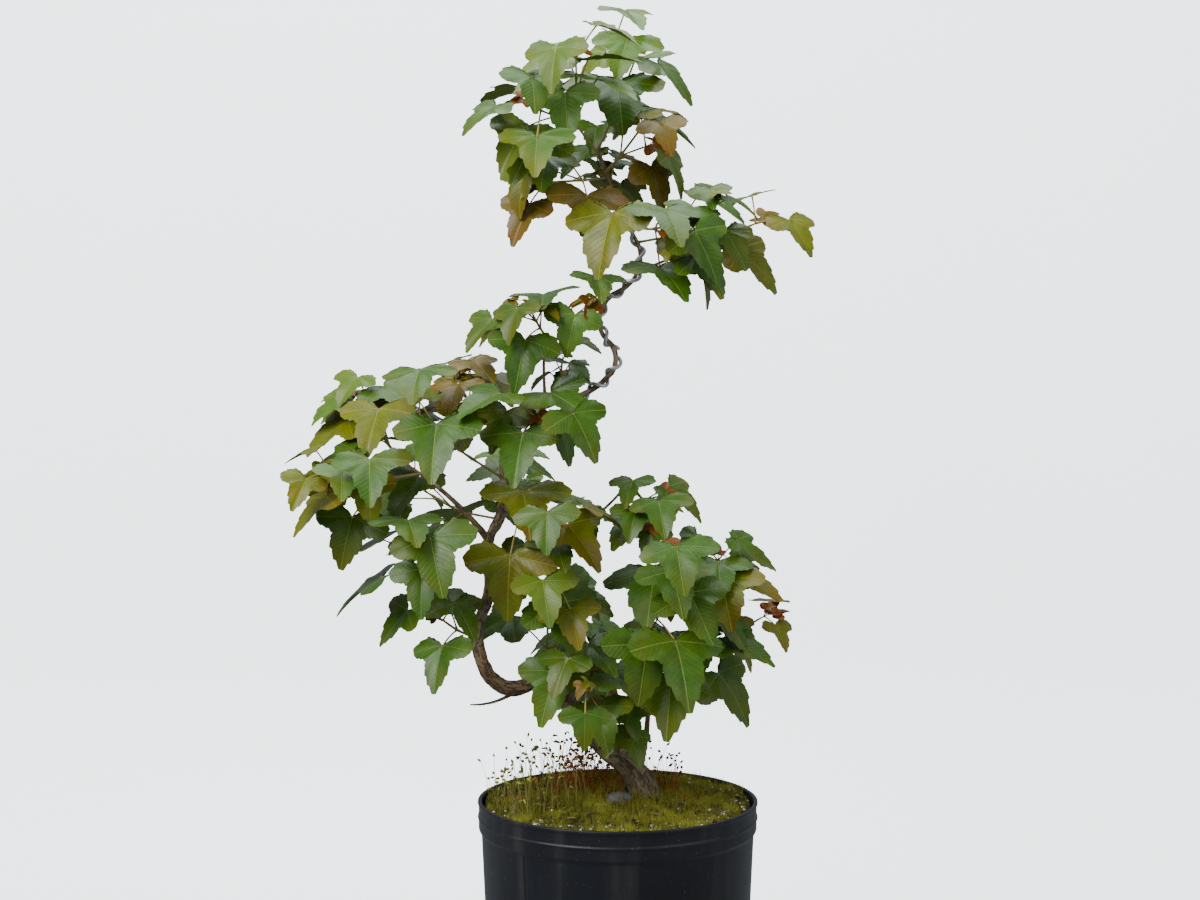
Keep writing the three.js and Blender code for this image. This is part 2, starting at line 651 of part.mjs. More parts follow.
// The trunk's lowest part, cut off flat at the ground
function trunkFootSolid({ path, radius }, { end, sides, stride }) {
  const depth = 40;
  const ground = new THREE.BoxGeometry(4 * depth, 4 * depth, depth);
  ground.translate(0, 0, SOIL_TOP + GAP - depth / 2);
  const from = -TRUNK_FOOT.sunk;
  const foot = bar(path, radius, { from, to: end - 1.5 * GAP, sides, stride });
  return solidOf(foot).subtract(solidOf(ground));
}

function boughSolid({ path, radius, parent }, at) {
  return solidOf(bar(path, radius, BOUGH_BUILD)).subtract(sleeve(parent, at)).simplify(FINEST);
}

// A profile turned about the upright axis
function turned(profile, sides) {
  return new THREE.LatheGeometry(profile.map(([x, z]) => new THREE.Vector2(x, z)), sides)
    .rotateX(Math.PI / 2);
}

function potWallRadius(z) {
  return lerp(POT.footRadius, POT.rimRadius - POT.step - 0.6, z / (POT.height - POT.band));
}

function potGeometry() {
  const { rimRadius, height, lip, band, ridge, step, footRadius, wall, floor, corner, sides } = POT;
  const shoulder = height - band;
  const profile = [
    [0, 0],
    [footRadius - corner, 0],
    [footRadius - corner * 0.3, corner * 0.3],
    [footRadius, corner],
    [potWallRadius(shoulder), shoulder],
    [rimRadius - 0.6, shoulder + step],
    [rimRadius - 0.6, height - ridge - 0.8],
    [rimRadius, height - ridge],
    [rimRadius - 0.6, height - ridge + 0.8],
    [rimRadius - 0.4, height - 1.5],
    [rimRadius, height - 0.6],
    [rimRadius - 0.6, height],
    [rimRadius - lip, height],
    [potWallRadius(shoulder) - wall, shoulder],
    [footRadius - wall, floor],
    [0, floor],
  ];
  return turned(profile, sides);
}

function soilGeometry() {
  const { wall, floor, height, band } = POT;
  const low = floor + GAP;
  const inset = wall + GAP;
  const shoulder = height - band;
  return turned([
    [0, low],
    [potWallRadius(floor) - inset - 0.3, low],
    [potWallRadius(shoulder) - inset, shoulder],
    [potWallRadius(shoulder) - inset, SOIL_TOP],
    [0, SOIL_TOP],
  ], POT.sides);
}

// The moss mounds up round the trunk's foot, in low cushions
function mossHeight(x, y) {
  const away = Math.hypot(x - MOSS.x, y - MOSS.y) / MOSS.spread;
  const cushions = Math.sin(x / MOSS.cushion + 1) * Math.cos(y / MOSS.cushion - x / 30);
  return lerp(MOSS.edge, MOSS.crown, Math.exp(-away * away)) + MOSS.lump * cushions;
}

function mossSolid(limbs) {
  const radius = potWallRadius(POT.height - POT.band) - POT.wall - GAP;
  const bottom = SOIL_TOP + GAP;
  const profile = [[0, bottom], [radius, bottom]];
  for (let ring = MOSS.rings; ring >= 0; ring -= 1) {
    profile.push([(radius * ring) / MOSS.rings, MOSS.edge]);
  }
  const geometry = bare(turned(profile, MOSS.sides));
  const places = geometry.attributes.position;
  for (let i = 0; i < places.count; i += 1) {
    const [x, y] = [places.getX(i), places.getY(i)];
    if (places.getZ(i) > bottom + 1) places.setZ(i, mossHeight(x, y));
  }
  return solidOf(geometry)
    .subtract(sleeve(limbs.trunk, 6, 2 * SLEEVE.gap))
    .subtract(solidOf(stoneGeometry(2 * GAP)))
    .simplify(FINEST);
}

// A worn flat stone at the foot of the trunk
function stoneGeometry(extra) {
  const { length, width, height, x, y, z, turn } = STONE;
  return new THREE.IcosahedronGeometry(1, 1)
    .scale(length / 2 + extra, width / 2 + extra, height / 2 + extra)
    .rotateZ(degToRad(turn))
    .translate(x, y, z);
}

const FINISHES = {
  pot: { color: '#1c1e24', roughness: 0.42, metalness: 0 },
  soil: { color: '#2e2118', roughness: 1, metalness: 0 },
  moss: { color: '#7f8428', roughness: 0.95, metalness: 0 },
  stone: { color: '#86857f', roughness: 0.85, metalness: 0 },
  bark: { color: '#7a6a55', roughness: 0.85, metalness: 0 },
  twig: { color: '#4d3828', roughness: 0.75, metalness: 0 },
  wire: { color: '#9a9a98', roughness: 0.4, metalness: 1 },
  leaf: { color: '#48752f', roughness: 0.5, metalness: 0 },
};

function piece(name, geometry, finish) {
  geometry.computeVertexNormals();
  const mesh = new THREE.Mesh(geometry, new THREE.MeshStandardMaterial(FINISHES[finish]));
  mesh.name = name;
  return mesh;
}

function makeTree() {
  const tree = new THREE.Group();
  const add = (name, geometry, finish) => tree.add(piece(name, geometry, finish));
  const limbs = growLimbs();
  const obstacles = Object.values(limbs).flatMap((limb) => limb.shapes);

  add('pot', potGeometry(), 'pot');
  add('soil', soilGeometry(), 'soil');
  add('moss_bed', geometryOf(mossSolid(limbs)), 'moss');
  add('stone', stoneGeometry(0), 'stone');

  const [foot, ...upperParts] = TRUNK_PARTS;
  add(foot.name, geometryOf(trunkFootSolid(limbs.trunk, foot)), 'bark');
  let from = foot.end;
  for (const { name, end, sides, stride } of upperParts) {
    add(name, bar(limbs.trunk.path, trunkRadius, { from, to: end - 1.5 * GAP, sides, stride }), 'bark');
    from = end;
  }
  for (const bough of BOUGHS) {
    add(bough.name, geometryOf(boughSolid(limbs[bough.name], bough.at)), 'twig');
  }
  for (const wire of WIRES) {
    const path = wirePath(wire, limbs.trunk);
    const radiusAt = () => WIRE.thick / 2;
    const stride = path.length / (path.points.length - 1);
    add(wire.name, bar(path, radiusAt, { sides: WIRE.sides, stride }), 'wire');
    obstacles.push(...limbShapes(path, radiusAt, 3));
  }
  for (const mass of MASSES) {
    const limb = limbs[mass.on];
    const grown = growMass(mass, limb, obstacles);
    obstacles.push(...grown.shapes);
    add(mass.name, geometryOf(fuseMass(grown, limb, mass.at)), 'leaf');
  }
  return tree;
}

export default makeTree();
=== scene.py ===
"""Looks for a young trident maple, trained in an S and growing in a black nursery pot with a mossy top.

The part's growth rule is written again here. What it grows gets its real outline, relief and finish, and is
carried on to small young leaves. Lengths are in millimetres until a mesh is made.
"""

import logging
import math
from abc import ABC, abstractmethod
from dataclasses import dataclass, field, replace
from enum import Enum
from typing import Any, Callable, Iterable, Iterator, Mapping, Optional, Sequence, Union

import bmesh
import bpy
import numpy as np
from mathutils import Matrix, Vector, noise


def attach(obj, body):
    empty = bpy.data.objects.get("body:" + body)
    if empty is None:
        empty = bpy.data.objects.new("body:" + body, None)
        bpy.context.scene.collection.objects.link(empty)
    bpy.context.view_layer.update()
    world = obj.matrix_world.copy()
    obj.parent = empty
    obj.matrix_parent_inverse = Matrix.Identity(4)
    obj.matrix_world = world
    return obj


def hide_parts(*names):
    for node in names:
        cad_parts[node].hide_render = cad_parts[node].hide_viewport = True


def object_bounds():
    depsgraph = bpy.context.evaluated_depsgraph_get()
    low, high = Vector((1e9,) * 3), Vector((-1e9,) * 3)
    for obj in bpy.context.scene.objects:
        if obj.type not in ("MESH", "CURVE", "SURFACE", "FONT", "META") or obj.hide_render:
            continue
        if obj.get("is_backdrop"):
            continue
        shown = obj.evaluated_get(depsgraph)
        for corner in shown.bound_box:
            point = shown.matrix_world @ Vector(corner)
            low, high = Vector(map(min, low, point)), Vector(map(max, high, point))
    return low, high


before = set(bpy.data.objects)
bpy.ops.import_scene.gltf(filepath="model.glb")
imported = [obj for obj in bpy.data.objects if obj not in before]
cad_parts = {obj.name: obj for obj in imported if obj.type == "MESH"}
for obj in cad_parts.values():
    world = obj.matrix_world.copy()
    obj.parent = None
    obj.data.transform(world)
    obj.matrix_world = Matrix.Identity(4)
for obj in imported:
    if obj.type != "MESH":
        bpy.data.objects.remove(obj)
CAD_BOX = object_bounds()

LOG = logging.getLogger("maple")
MM = 0.001
TAU = 2 * math.pi
TIP = math.inf
GAP = 0.3
UP = np.array((0.0, 0.0, 1.0))
HEADING_REACH = 1.5
SCATTER = 2654435761
DRAW_TIMES = 1664525
DRAW_PLUS = 1013904223
DRAW_SPAN = 2**32

Numbers = np.ndarray
Draw = Callable[[], float]


# Sizes


@dataclass(frozen=True)
class PotSize:
    """The nursery pot's measures."""

    rim_radius: float = 82.5
    height: float = 165
    lip: float = 2.4
    band: float = 18
    ridge: float = 9.5
    step: float = 1.6
    foot_radius: float = 73
    wall: float = 1.8
    floor: float = 2.5
    corner: float = 4

    def wall_radius(self, z: float) -> float:
        """The outer radius of the plain wall.

        Args:
            z: Height above the ground.

        Returns:
            The radius there.
        """
        share = z / (self.height - self.band)
        return lerp(self.foot_radius, self.rim_radius - self.step - 0.6, share)


@dataclass(frozen=True)
class Bend:
    """One bend of the trunk: its length, and the lean and swing in degrees that it ends at."""

    length: float
    lean: float
    swing: float


@dataclass(frozen=True)
class Bough:
    """A bough: the limb it leaves and where, its first and last heading, its length and its thickness."""

    name: str
    on: str
    at: float
    first: tuple[float, float]
    last: tuple[float, float]
    length: float
    thick: tuple[float, float]


@dataclass(frozen=True)
class Winding:
    """A wire's run on the trunk, how far it climbs in a turn, and its first angle."""

    name: str
    start: float
    end: float
    climb: float
    angle: float


class Tint(Enum):
    """The colours that leaves come in."""

    DEEP = "deep"
    MID = "mid"
    OLIVE = "olive"
    BRONZE = "bronze"
    RUST = "rust"


class Spray(Enum):
    """How a mass's leaves share the tints."""

    GREEN = ((Tint.DEEP, 0.55), (Tint.MID, 0.3), (Tint.OLIVE, 0.15))
    MIXED = ((Tint.DEEP, 0.36), (Tint.MID, 0.24), (Tint.OLIVE, 0.32), (Tint.BRONZE, 0.08))
    WARM = ((Tint.DEEP, 0.26), (Tint.MID, 0.2), (Tint.OLIVE, 0.44), (Tint.BRONZE, 0.1))
    YOUNG = ((Tint.OLIVE, 0.5), (Tint.BRONZE, 0.35), (Tint.RUST, 0.15))

    def pick(self, roll: float) -> Tint:
        """Deals a tint.

        Args:
            roll: A draw from 0 to 1.

        Returns:
            The tint.
        """
        for tint, share in self.value:
            roll -= share
            if roll < 0:
                return tint
        return self.value[-1][0]


@dataclass(frozen=True)
class Mass:
    """A mass of foliage: its limb, its stem, its leaves' count and size, its seed and its tints."""

    name: str
    on: str
    at: float
    heading: tuple[float, float]
    length: float
    nodes: int
    fork: float
    leaf: float
    seed: int
    spray: Spray


POT = PotSize()
SOIL_TOP = 157
MOSS = {"edge": 162.5, "crown": 169, "x": 4, "y": 6, "spread": 40, "lump": 1.1, "cushion": 9}
STONE = {"size": (17, 12, 9), "place": (1, -15, 167), "turn": 12}
FOOT = {"x": 15.2, "y": 0, "lean": 12, "swing": -5}
BENDS = (
    Bend(34, -59, 17),
    Bend(46, -31, -2),
    Bend(19, -26, -36),
    Bend(18, -134, -34),
    Bend(28, -39, -6),
    Bend(24, -4, 13),
    Bend(18, 25, 10),
    Bend(25, -15, 9),
    Bend(24, 31, 11),
    Bend(33, -8, 7),
    Bend(63, 81, 11),
    Bend(34, 42, -5),
    Bend(22, -48, -23),
    Bend(37, 68, -18),
    Bend(36, -27, 12),
    Bend(37, -24, 9),
    Bend(24, -10, 8),
)
GIRTH_AT = (0, 12, 28, 54, 140, 174, 279, 347, 452, 522)
GIRTH_THICK = (26, 19, 14.5, 11.8, 9, 7.2, 6.2, 3.9, 2.7, 1.8)
BEND_STRIDES = 16
TRUNK_NODES = ("trunk_foot", "trunk_bend", "trunk_rise", "trunk_sweep", "trunk_top")
BOUGHS = (
    Bough("left_bough", "trunk", 229, (208, 52), (183, 33), 64, (4, 1.7)),
    Bough("low_left_twig", "trunk", 174, (212, 22), (200, 78), 31, (2.4, 1.3)),
    Bough("front_branch", "trunk", 187, (-66, 64), (28, 18), 54, (3.6, 2.4)),
    Bough("right_bough", "front_branch", TIP, (22, 14), (4, 52), 66, (2.3, 1.4)),
    Bough("low_right_bough", "trunk", 92, (-30, 44), (-12, 30), 60, (3.4, 1.7)),
    Bough("basal_stem", "trunk", 21, (20, 72), (60, 88), 42, (4.4, 2.8)),
    Bough("basal_bough", "basal_stem", TIP, (10, 50), (4, 46), 50, (2.4, 1.4)),
    Bough("dead_twig", "trunk", 126, (200, -38), (188, 4), 32, (2.6, 0.9)),
    Bough("middle_bough", "trunk", 322, (-110, 76), (-50, 84), 42, (2.2, 1.2)),
    Bough("upper_right_bough", "trunk", 443, (-22, 12), (-8, 34), 40, (1.9, 1.2)),
)
BOUGH_STRIDE = 3
LIMB_STRETCH = 6
WIRE_STRETCH = 3
WIRE_THICK = 2.3
WIRE_BED = 1.05
WIRE_STEPS = 7
WIRES = (Winding("lower_wire", 297, 377, 14, 188), Winding("upper_wire", 381, 474, 15, 20))
SHOOT = {"thick": 1.8, "tip": 1.1, "bare": 0.4, "lift": 0.12, "stray": 0.1, "bud": 1.6}
STALK = {"thick": 1.1, "least": 0.5, "most": 0.95, "out": 0.8, "on": 0.45, "up": 0.2, "stray": 0.35}
LIGHT = np.array((0.0, -0.6, 0.8))
BLADE = {"thick": 1.1, "droop": 0.2, "fold": 0.14, "stray": 0.4}
HEART = (0.0, 0.3)
HALF = ((0.26, -0.16), (0.68, 0.16), (0.28, 0.44))
BLADE_RIM = ((0.0, 0.0), *HALF, (0.0, 1.0), *((-out, on) for out, on in reversed(HALF)))
CLEARANCE = 0.5
SPACE_MARGIN = 1.6
LOWEST_GROWTH = 172
ATTEMPTS = 3
LOBE_ANGLE = math.radians(77)
GOLDEN_ANGLE = 2.39996
TINT_MARK = 900
YOUNG_MARK = 700
FORM_MARK = 31
YOUNG_MIDRIB = (7, 14)
MASSES = (
    Mass("apex", "trunk", TIP, (35, 60), 66, 3, 0.5, 38, 8371, Spray.MIXED),
    Mass("apex_left", "trunk", 519, (245, 25), 80, 4, 0.3, 36, 6830, Spray.GREEN),
    Mass("apex_right", "trunk", 507, (335, 45), 36, 2, 0.7, 32, 9446, Spray.MIXED),
    Mass("upper_left", "trunk", 504, (200, -5), 38, 2, 0.6, 35, 1927, Spray.MIXED),
    Mass("upper_front", "trunk", 478, (295, -15), 80, 4, 0.6, 36, 6387, Spray.GREEN),
    Mass("upper_right_inner", "trunk", 460, (335, 5), 60, 6, 0.4, 31, 6175, Spray.GREEN),
    Mass("upper_right_outer", "upper_right_bough", TIP, (25, 15), 38, 2, 0, 32, 8427, Spray.YOUNG),
    Mass("bend_shoot", "trunk", 410, (240, 20), 22, 4, 0.6, 23, 5100, Spray.GREEN),
    Mass("middle_shoot", "middle_bough", TIP, (250, 30), 20, 3, 0.4, 29, 1131, Spray.MIXED),
    Mass("middle_back", "trunk", 332, (105, 60), 28, 3, 0.4, 21, 9261, Spray.MIXED),
    Mass("left_top", "trunk", 293, (185, 35), 44, 6, 0.6, 28, 1474, Spray.WARM),
    Mass("left_outer_top", "left_bough", TIP, (145, 30), 54, 5, 0.7, 30, 2345, Spray.WARM),
    Mass("left_outer_low", "left_bough", 57, (195, -15), 54, 5, 0.4, 31, 5064, Spray.GREEN),
    Mass("left_mid", "trunk", 267, (210, 30), 64, 3, 0.1, 38, 6784, Spray.MIXED),
    Mass("left_front", "low_left_twig", TIP, (220, 35), 38, 4, 0.2, 36, 9983, Spray.GREEN),
    Mass("low_left", "trunk", 170, (205, 20), 34, 3, 0, 28, 6413, Spray.MIXED),
    Mass("centre_top", "trunk", 305, (285, -10), 36, 3, 0.6, 35, 4398, Spray.GREEN),
    Mass("centre", "trunk", 250, (300, -10), 52, 4, 0.4, 38, 7686, Spray.GREEN),
    Mass("centre_low", "trunk", 200, (330, 10), 44, 3, 0.1, 31, 8007, Spray.MIXED),
    Mass("centre_right", "trunk", 253, (15, -10), 38, 2, 0, 29, 8384, Spray.GREEN),
    Mass("right_mid", "right_bough", TIP, (315, -25), 30, 4, 0.3, 27, 5074, Spray.WARM),
    Mass("low_middle", "trunk", 109, (80, 60), 42, 2, 0.2, 37, 3238, Spray.MIXED),
    Mass("right_top", "basal_bough", TIP, (320, 75), 50, 4, 0.3, 33, 4979, Spray.WARM),
    Mass("right_front", "low_right_bough", TIP, (305, 35), 48, 5, 0.6, 39, 4335, Spray.GREEN),
    Mass("right_far", "basal_bough", 44, (20, 20), 48, 2, 0.1, 26, 1105, Spray.YOUNG),
    Mass("right_low", "basal_stem", 37, (325, 40), 62, 5, 0.1, 35, 3685, Spray.GREEN),
    Mass("base_left", "trunk", 86, (285, 20), 52, 4, 0.4, 30, 2727, Spray.GREEN),
    Mass("base_front", "trunk", 37, (290, 65), 32, 4, 0.2, 21, 292, Spray.MIXED),
    Mass("back_low", "trunk", 100, (75, -5), 72, 5, 0.3, 29, 3700, Spray.MIXED),
    Mass("back_middle", "trunk", 257, (90, 10), 70, 4, 0.2, 25, 853, Spray.MIXED),
    Mass("back_left", "trunk", 243, (135, 5), 86, 5, 0, 33, 2753, Spray.MIXED),
    Mass("back_top", "trunk", 484, (100, 45), 70, 4, 0.4, 30, 4094, Spray.MIXED),
)


# Growth, by the part's rule


def lerp(low: float, high: float, share: float) -> float:
    """Goes a share of the way from one number to another.

    Args:
        low: The number at share 0.
        high: The number at share 1.
        share: How far to go.

    Returns:
        The number there.
    """
    return (1 - share) * low + share * high


def unit(heading: Numbers) -> Numbers:
    """Gives a heading the length 1.

    Args:
        heading: Any vector but zero.

    Returns:
        The same direction at length 1.
    """
    return heading / math.sqrt(float(heading @ heading))


def heading_of(angles: tuple[float, float]) -> Numbers:
    """Turns a compass angle and a climb into a heading.

    Args:
        angles: Both in degrees; compass 0 is +X and 90 is the back.

    Returns:
        The heading.
    """
    compass, climb = (math.radians(angle) for angle in angles)
    level = math.cos(climb)
    return np.array((level * math.cos(compass), level * math.sin(compass), math.sin(climb)))


def turned(vector: Numbers, axis: Numbers, angle: float) -> Numbers:
    """Turns a vector about an axis.

    Args:
        vector: What turns.
        axis: The unit axis.
        angle: In radians.

    Returns:
        The turned vector.
    """
    cosine, sine = math.cos(angle), math.sin(angle)
    return vector * cosine + np.cross(axis, vector) * sine + axis * float(axis @ vector) * (1 - cosine)


def seeded_draws(*marks: int) -> Draw:
    """Makes a draw from 0 to 1 that is the same each time for a run of whole marks.

    Args:
        marks: The seed and what it is for.

    Returns:
        The draw.
    """
    state = 0
    for mark in marks:
        state = ((state ^ mark) * SCATTER + 1) % DRAW_SPAN

    def draw() -> float:
        """The next number of the run."""
        nonlocal state
        state = (state * DRAW_TIMES + DRAW_PLUS) % DRAW_SPAN
        return state / DRAW_SPAN

    return draw


class Path:
    """A run of points, read by the length along it."""

    def __init__(self, points: Sequence[Numbers]) -> None:
        """Measures the run.

        Args:
            points: At least two points.
        """
        self.points = np.array(points)
        strides = np.sqrt((np.diff(self.points, axis=0) ** 2).sum(1))
        self.ats = np.concatenate(([0.0], np.cumsum(strides)))
        self.length = float(self.ats[-1])

    def point(self, at: float) -> Numbers:
        """Finds a place on the run.

        Args:
            at: The length along it; outside its ends it goes straight on.

        Returns:
            The place.
        """
        i = min(max(int(np.searchsorted(self.ats, at)), 1), len(self.ats) - 1)
        share = (at - self.ats[i - 1]) / (self.ats[i] - self.ats[i - 1])
        return self.points[i - 1] * (1 - share) + self.points[i] * share

    def heading(self, at: float) -> Numbers:
        """Finds which way the run goes.

        Args:
            at: The length along it.

        Returns:
            The unit heading there.
        """
        return unit(self.point(at + HEADING_REACH) - self.point(at - HEADING_REACH))


@dataclass(frozen=True)
class Shape:
    """What growth keeps clear of: points, the edges between them, faces, and how thick they are."""

    points: Numbers
    edges: Numbers
    faces: Numbers
    thick: float
    centre: tuple[float, ...] = field(init=False)
    reach: float = field(init=False)

    def __post_init__(self) -> None:
        """Works out the ball round the shape."""
        centre = (self.points.min(0) + self.points.max(0)) / 2
        radius = math.sqrt(((self.points - centre) ** 2).sum(1).max())
        object.__setattr__(self, "centre", tuple(centre))
        object.__setattr__(self, "reach", radius + self.thick)


def stick_shape(start: Numbers, end: Numbers, radius: float) -> Shape:
    """The shape of a straight round stick.

    Args:
        start: One end.
        end: The other.
        radius: Its radius.

    Returns:
        The shape.
    """
    points = np.array((start, end))
    return Shape(points, points[None], np.zeros((0, 3, 3)), radius)


@dataclass
class Limb:
    """A limb's path, how its radius changes along it, and the shapes that growth keeps clear of."""

    path: Path
    radius: Callable[[float], float]
    shapes: list[Shape] = field(default_factory=list)

    def cover(self, stretch: float) -> "Limb":
        """Notes the shapes that growth keeps clear of, one for each stretch.

        Args:
            stretch: The longest stretch.

        Returns:
            The limb itself.
        """
        count = math.ceil(self.path.length / stretch)
        for k in range(count):
            ends = [self.path.length * share / count for share in (k, k + 1)]
            start, end = (self.path.point(at) for at in ends)
            self.shapes.append(stick_shape(start, end, self.radius(ends[0])))
        return self

    def seat(self, at: float) -> Numbers:
        """Finds the middle of the limb.

        Args:
            at: The length along it, or TIP.

        Returns:
            The place.
        """
        return self.path.point(min(at, self.path.length))


def trunk_path() -> Path:
    """Follows the trunk through its bends.

    Returns:
        The path of its middle line.
    """
    points = [np.array((FOOT["x"], FOOT["y"], SOIL_TOP + GAP))]
    lean, swing = FOOT["lean"], FOOT["swing"]
    for bend in BENDS:
        for k in range(BEND_STRIDES):
            share = (k + 0.5) / BEND_STRIDES
            leant = math.radians(lerp(lean, bend.lean, share))
            swung = math.radians(lerp(swing, bend.swing, share))
            flat = math.cos(swung)
            heading = np.array((math.sin(leant) * flat, math.sin(swung), math.cos(leant) * flat))
            points.append(points[-1] + heading * (bend.length / BEND_STRIDES))
        lean, swing = bend.lean, bend.swing
    return Path(points)


def trunk_radius(at: float) -> float:
    """The trunk's radius.

    Args:
        at: The length along it.

    Returns:
        The radius there.
    """
    i = 1
    while i < len(GIRTH_AT) - 1 and GIRTH_AT[i] < at:
        i += 1
    share = (at - GIRTH_AT[i - 1]) / (GIRTH_AT[i] - GIRTH_AT[i - 1])
    return lerp(GIRTH_THICK[i - 1], GIRTH_THICK[i], share) / 2


def bough_path(bough: Bough, start: Numbers) -> Path:
    """Follows a bough, which turns evenly from its first heading to its last.

    Args:
        bough: Its sizes.
        start: Where it leaves its limb.

    Returns:
        The path of its middle line.
    """
    strides = math.floor(bough.length / BOUGH_STRIDE + 0.5)
    first, last = heading_of(bough.first), heading_of(bough.last)
    points = [start]
    for k in range(strides):
        share = (k + 0.5) / strides
        points.append(points[k] + unit(first * (1 - share) + last * share) * (bough.length / strides))
    return Path(points)


def wire_path(wire: Winding, trunk: Limb, steps_a_turn: int, bed: float) -> Path:
    """Winds a wire round the trunk.

    Args:
        wire: Its run.
        trunk: The trunk.
        steps_a_turn: How finely it is followed.
        bed: How far its inner side is from the trunk's middle surface.

    Returns:
        The path of its middle line.
    """
    steps = math.floor((wire.end - wire.start) / wire.climb * steps_a_turn + 0.5)
    points = []
    side = np.array((1.0, 0.0, 0.0))
    for k in range(steps + 1):
        at = lerp(wire.start, wire.end, k / steps)
        heading = trunk.path.heading(at)
        side = unit(side - heading * float(side @ heading))
        out = turned(side, heading, math.radians(wire.angle) + TAU * k / steps_a_turn)
        points.append(trunk.path.point(at) + out * (trunk.radius(at) + bed + WIRE_THICK / 2))
    return Path(points)


def grow_limbs() -> dict[str, Limb]:
    """Grows the trunk and the boughs.

    Returns:
        Every limb by name.
    """
    limbs = {"trunk": Limb(trunk_path(), trunk_radius)}
    for bough in BOUGHS:
        path = bough_path(bough, limbs[bough.on].seat(bough.at))
        limbs[bough.name] = Limb(path, taper(bough.thick, path.length))
    for limb in limbs.values():
        limb.cover(LIMB_STRETCH)
    return limbs


def taper(thick: tuple[float, float], length: float) -> Callable[[float], float]:
    """A radius that changes evenly.

    Args:
        thick: The thickness at either end.
        length: The length between them.

    Returns:
        The radius at a length along.
    """
    return lambda at: lerp(thick[0], thick[1], at / length) / 2


@dataclass(frozen=True)
class Leaf:
    """One leaf: where its stalk starts and ends, its blade's own axes, its midrib's length and its tint."""

    root: Numbers
    reach: Numbers
    base: Numbers
    size: float
    face: Numbers
    midrib: Numbers
    side: Numbers
    tint: Tint = Tint.DEEP
    roll: float = 0.5

    def place(self, out: Numbers, on: Numbers, rise: Numbers) -> Numbers:
        """Finds places on or off the blade.

        Args:
            out: How far out to the side, in midrib lengths.
            on: How far along.
            rise: How far off the flat, to the upper side.

        Returns:
            The places, one a row.
        """
        axes = np.array((self.side, self.midrib, self.face))
        return self.base + self.size * np.stack((out, on, rise), -1) @ axes


@dataclass
class Shoot:
    """A shoot that is still to grow, and the rings of the stem that it has grown."""

    point: Numbers
    heading: Numbers
    length: float
    nodes: int
    order: int
    mark: int
    rings: list[tuple[Numbers, float]] = field(default_factory=list)


@dataclass
class Growth:
    """What a mass has grown."""

    mass: Mass
    shoots: list[Shoot] = field(default_factory=list)
    leaves: list[Leaf] = field(default_factory=list)
    young: list[Leaf] = field(default_factory=list)
    shapes: list[Shape] = field(default_factory=list)


def blade_shape(leaf: Leaf) -> Shape:
    """The shape of a blade, plain as in the part.

    Args:
        leaf: The leaf.

    Returns:
        The shape.
    """
    out, on = np.array((*BLADE_RIM, HEART)).T
    rise = BLADE["fold"] * np.abs(out) - BLADE["droop"] * (on * on + out * out)
    places = leaf.place(out, on, rise)
    rim, heart = places[:-1], np.broadcast_to(places[-1], places[:-1].shape)
    following = np.roll(rim, -1, 0)
    edges = np.concatenate((np.stack((rim, following), 1), np.stack((rim, heart), 1)))
    return Shape(places, edges, np.stack((rim, following, heart), 1), BLADE["thick"] / 2)


def segment_gaps(ones: Numbers, twos: Numbers) -> Numbers:
    """Measures how near straight edges come to each other.

    Args:
        ones: Edges, n by 2 by 3.
        twos: Other edges, m by 2 by 3.

    Returns:
        The gaps, n by m.
    """
    start, along = ones[:, None, 0], ones[:, None, 1] - ones[:, None, 0]
    other, across = twos[None, :, 0], twos[None, :, 1] - twos[None, :, 0]
    apart = start - other
    a, e = (along * along).sum(-1), (across * across).sum(-1)
    b, c, f = (along * across).sum(-1), (along * apart).sum(-1), (across * apart).sum(-1)
    slant = a * e - b * b
    level = np.where(slant == 0, 1.0, slant)
    s = np.where(slant == 0, 0.0, np.clip((b * f - c * e) / level, 0, 1))
    t = (b * s + f) / e
    s = np.where(t < 0, np.clip(-c / a, 0, 1), np.where(t > 1, np.clip((b - c) / a, 0, 1), s))
    t = np.clip(t, 0, 1)
    gap = apart + along * s[..., None] - across * t[..., None]
    return np.sqrt((gap * gap).sum(-1))


def meets_faces(points: Numbers, edges: Numbers, faces: Numbers, clear: Numbers) -> bool:
    """Tests whether points come near faces, or edges go through them.

    Args:
        points: n by 3.
        edges: m by 2 by 3.
        faces: k by 3 by 3.
        clear: How near is too near, one number, or one for each face, or one for each point.

    Returns:
        Whether any does.
    """
    if not len(faces):
        return False
    corner = faces[:, 0]
    u, v = faces[:, 1] - corner, faces[:, 2] - corner
    normal = np.cross(u, v)
    normal = normal / np.sqrt((normal * normal).sum(-1, keepdims=True))
    uu, uv, vv = (u * u).sum(-1), (u * v).sum(-1), (v * v).sum(-1)
    area = uu * vv - uv * uv

    def within(spots: Numbers) -> Numbers:
        """Whether each spot lies in its triangle."""
        spread = spots - corner
        wu, wv = (spread * u).sum(-1), (spread * v).sum(-1)
        s, t = (wu * vv - wv * uv) / area, (wv * uu - wu * uv) / area
        return (s >= 0) & (t >= 0) & (s + t <= 1)

    drop = ((points[:, None] - corner) * normal).sum(-1)
    feet = points[:, None] - drop[..., None] * normal
    if ((np.abs(drop) < clear) & within(feet)).any():
        return True
    start = ((edges[:, None, 0] - corner) * normal).sum(-1)
    end = ((edges[:, None, 1] - corner) * normal).sum(-1)
    crosses = (start * end <= 0) & (start != end)
    share = np.where(crosses, start / np.where(crosses, start - end, 1), 0)
    spots = edges[:, None, 0] + share[..., None] * (edges[:, None, 1] - edges[:, None, 0])
    return bool((crosses & within(spots)).any())


